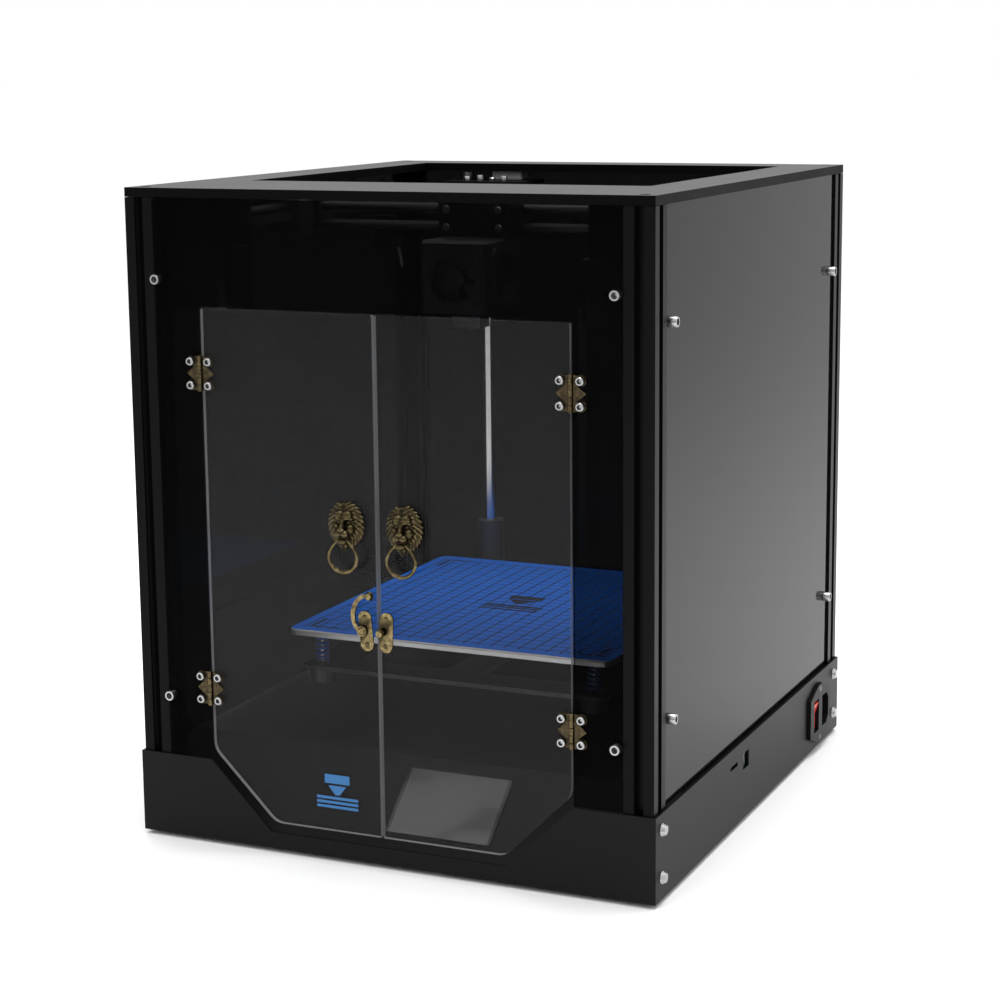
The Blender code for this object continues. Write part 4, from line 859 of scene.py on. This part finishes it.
def belts():
    """A plain belt loop along each side, from the motor pulley to the idler on the rear bracket."""
    for word in ("left", "right"):
        x, y, _ = centre(f"belt_pulley_{word}")
        rear = box(f"y_rod_{word}")[1].y - 8 * MM
        z = box(f"motor_mount_{word}")[0].z + 10.5 * MM
        r_in, r_out = 6.3 * MM, 7.4 * MM
        shape = bmesh.new()
        loops = []
        section = ((r_in, z), (r_out, z), (r_out, z + BELT_WIDTH), (r_in, z + BELT_WIDTH))
        for hub, first, last in ((y, math.pi, 2 * math.pi), (rear, 0, math.pi)):
            for u, v in arc((0, 0), 1, first, last, 14):
                loops.append([shape.verts.new((x + r * u, hub + r * v, h)) for r, h in section])
        for a, b in zip(loops, loops[1:] + loops[:1]):
            for k in range(4):
                j = (k + 1) % 4
                shape.faces.new((a[k], b[k], b[j], a[j]))
        finish(f"side_belt_{word}", shape, "frame", BELT)
        shape = bmesh.new()
        add_rod(shape, (x, rear, z - 1 * MM), (x, rear, z + 7 * MM), IDLER_RADIUS)
        add_rod(shape, (x, rear, z - 10 * MM), (x, rear, z - 1.2 * MM), 3 * MM)
        finish(f"rear_idler_{word}", shape, "frame", ALUMINIUM)
        shape = bmesh.new()
        tip = box(f"y_rod_{word}")[1]
        wall = box("rear_panel")[0].y
        add_block(shape, (min(x, tip.x) - 14 * MM, tip.y - 14 * MM, z - 14 * MM),
                  (max(x, tip.x) + 6 * MM, wall - WALL_GAP, z - 10.2 * MM))
        finish(f"rear_bracket_{word}", shape, "frame", PAINT, 0.8 * MM)


def rod_holders():
    """Clamps that hold the vertical rods' tops to the rear wall."""
    wall = box("rear_panel")[0].y
    for word in ("left", "right"):
        x, y, _ = centre(f"z_rod_{word}")
        top = box(f"z_rod_{word}")[1].z
        shape = bmesh.new()
        add_block(shape, (x - 15 * MM, y + 6.5 * MM, top - 20 * MM),
                  (x + 15 * MM, wall - WALL_GAP, top - 2 * MM))
        add_rod(shape, (x, y, top - 18 * MM), (x, y, top - 4 * MM), 10 * MM)
        finish(f"rod_clamp_{word}", shape, "frame", PLASTIC, 1 * MM)


def fan_frame(name, at, out):
    """Square frame with rounded corners round a fan, with a screw in each corner."""
    across, up = Vector((0, 0, 1)).cross(out), Vector((0, 0, 1))
    outer, inner, depth, hole = 20 * MM, 17 * MM, 1.6 * MM, 16.4 * MM
    steps = 40
    shape = bmesh.new()
    rings = []
    for i in range(steps):
        a = 2 * math.pi * i / steps
        c, s = math.cos(a), math.sin(a)
        square = outer / max(abs(c), abs(s), (abs(c) + abs(s)) / 1.72)
        rings.append([
            shape.verts.new(at + across * (r * c) + up * (r * s) + out * h)
            for r, h in ((inner, 0.1 * MM), (square, 0.1 * MM), (square, depth), (inner, depth))
        ])
    for a, b in zip(rings, rings[1:] + rings[:1]):
        for k in range(4):
            j = (k + 1) % 4
            shape.faces.new((a[k], b[k], b[j], a[j]))
    for u, v in ((1, 1), (-1, 1), (-1, -1), (1, -1)):
        add_screw(shape, at + across * (u * hole) + up * (v * hole) + out * depth, out,
                  2.2 * MM, 1 * MM)
    finish(name, shape, "carriage", PLASTIC)


def carriage_details():
    """Screws on the carriage's face and a frame round each fan."""
    low, high = box("carriage")
    head_low, head_high = box("print_head")
    shape = bmesh.new()
    for x in (low.x + 7 * MM, high.x - 7 * MM):
        for z in (low.z + 6 * MM, high.z - 6 * MM):
            add_screw(shape, (x, low.y, z), (0, -1, 0), 2.6 * MM, 2 * MM)
    finish("carriage_screws", shape, "carriage", STEEL)
    _, y, z = centre("print_head")
    fan_frame("front_fan_frame", Vector((0, head_low.y, z)), Vector((0, -1, 0)))
    fan_frame("side_fan_frame", Vector((head_high.x, y, z)), Vector((1, 0, 0)))


def extruder_details():
    """Feed screws and the pale motor plug on the filament drive at the rear."""
    low, high = box("extruder")
    x = centre("extruder")[0]
    shape = bmesh.new()
    for dx, height in ((-19, 3.2), (-8, 4.2), (2, 2.4), (12, 3.8)):
        add_screw(shape, (x + dx * MM, low.y + 9 * MM, high.z), (0, 0, 1), 2.6 * MM, height * MM)
    inlet = (x - 24 * MM, low.y + 20 * MM)
    add_rod(shape, (*inlet, high.z), (*inlet, high.z + 6 * MM), 5 * MM)
    finish("extruder_screws", shape, "frame", STEEL)
    shape = bmesh.new()
    add_block(shape, (x - 4 * MM, high.y - 22 * MM, high.z),
              (x + 21 * MM, high.y - 8 * MM, high.z + 10 * MM))
    finish("extruder_plug", shape, "frame", WHITE, 1.2 * MM)


# ---- ports ----------------------------------------------------------------------------------------
def inlet_details():
    """The mains inlet's two screws and three contact pins."""
    high = box("mains_inlet")[1]
    _, y, z = centre("mains_inlet")
    screws = bmesh.new()
    for side in (-1, 1):
        add_screw(screws, (high.x, y, z + side * 18.6 * MM), (1, 0, 0), 2.2 * MM, 0.05 * MM)
    finish("inlet_screws", screws, "frame", DARK_STEEL)
    pins = bmesh.new()
    socket = y + 13 * MM
    for dy, dz in ((4 * MM, 0), (-2.5 * MM, 7 * MM), (-2.5 * MM, -7 * MM)):
        add_block(pins, (high.x - 17.5 * MM, socket + dy - 1 * MM, z + dz - 2 * MM),
                  (high.x - 5 * MM, socket + dy + 1 * MM, z + dz + 2 * MM))
    finish("inlet_pins", pins, "frame", STEEL, 0.3 * MM)


# ---- studio ---------------------------------------------------------------------------------------
def camera():
    """A long lens at the front right that looks slightly down."""
    azimuth, pitch, roll = (math.radians(v) for v in CAMERA_TURN)
    ahead = Vector((-math.sin(azimuth) * math.cos(pitch), math.cos(azimuth) * math.cos(pitch),
                    -math.sin(pitch)))
    level = Vector((math.cos(azimuth), math.sin(azimuth), 0))
    above = level.cross(ahead)
    right = level * math.cos(roll) + above * math.sin(roll)
    up = above * math.cos(roll) - level * math.sin(roll)
    lens = bpy.data.cameras.new("camera")
    lens.sensor_width = 36
    lens.lens = CAMERA_LENS
    lens.shift_y = CAMERA_SHIFT
    lens.clip_end = 200
    view = bpy.data.objects.new("camera", lens)
    place = Matrix((right, up, -ahead)).transposed().to_4x4()
    place.translation = CAMERA_PLACE
    view.matrix_world = place
    bpy.context.scene.collection.objects.link(view)
    bpy.context.scene.camera = view


def softbox(name, at, target, size, power, glossy=True):
    """A rectangular light aimed at a point; without gloss it leaves no reflection."""
    light = bpy.data.lights.new(name, "AREA")
    light.shape = "RECTANGLE"
    light.size, light.size_y = size
    light.energy = power
    lamp = bpy.data.objects.new(name, light)
    at = Vector(at)
    aim = (Vector(target) - at).to_track_quat("-Z", "Y")
    lamp.matrix_world = Matrix.Translation(at) @ aim.to_matrix().to_4x4()
    lamp.visible_glossy = glossy
    bpy.context.scene.collection.objects.link(lamp)


def sky():
    """Light that grows from the horizon upward. The camera itself sees plain white."""
    world = bpy.data.worlds.new("studio")
    world.use_nodes = True
    tree = world.node_tree
    light = tree.nodes["Background"]
    light.inputs["Strength"].default_value = 1.0
    where = tree.nodes.new("ShaderNodeTexCoord")
    height = tree.nodes.new("ShaderNodeSeparateXYZ")
    tree.links.new(where.outputs["Generated"], height.inputs[0])
    rise = tree.nodes.new("ShaderNodeMapRange")
    rise.interpolation_type = "SMOOTHSTEP"
    for socket, value in (("From Min", 0.0), ("From Max", 0.75), ("To Min", 0.3), ("To Max", 1.25)):
        rise.inputs[socket].default_value = value
    tree.links.new(height.outputs[2], rise.inputs["Value"])
    seen = tree.nodes.new("ShaderNodeLightPath")
    tone = tree.nodes.new("ShaderNodeMix")
    tree.links.new(seen.outputs["Is Camera Ray"], tone.inputs["Factor"])
    tree.links.new(rise.outputs[0], tone.inputs[2])
    tone.inputs[3].default_value = 1.0
    tree.links.new(tone.outputs[0], light.inputs["Color"])
    bpy.context.scene.world = world


def studio():
    """White floor, a large light overhead and a weak one in front."""
    bpy.context.scene.view_settings.view_transform = "Standard"
    sky()
    shape = bmesh.new()
    bmesh.ops.create_grid(shape, x_segments=1, y_segments=1, size=60)
    mesh = bpy.data.meshes.new("floor")
    shape.to_mesh(mesh)
    shape.free()
    floor = bpy.data.objects.new("floor", mesh)
    mesh.materials.append(Shader("pale_floor", (0.98, 0.98, 0.98), 0.6, Specular_IOR_Level=0.2).material)
    bpy.context.scene.collection.objects.link(floor)
    middle = (0, 0, 0.2)
    softbox("overhead", (0.1, 0.1, 1.9), middle, (1.1, 1.1), 34)
    softbox("front_fill", (-0.7, -2.2, 1.2), middle, (1.0, 1.0), 4, glossy=False)


cad_finishes()
panel_screws()
cap_screws()
hinges()
for door in ("left", "right"):
    lion(door)
    ring(door)
latch_screws()
door_mark()
bed_springs()
lead_thread()
idlers()
endstop()
belts()
rod_holders()
carriage_details()
extruder_details()
inlet_details()
camera()
studio()
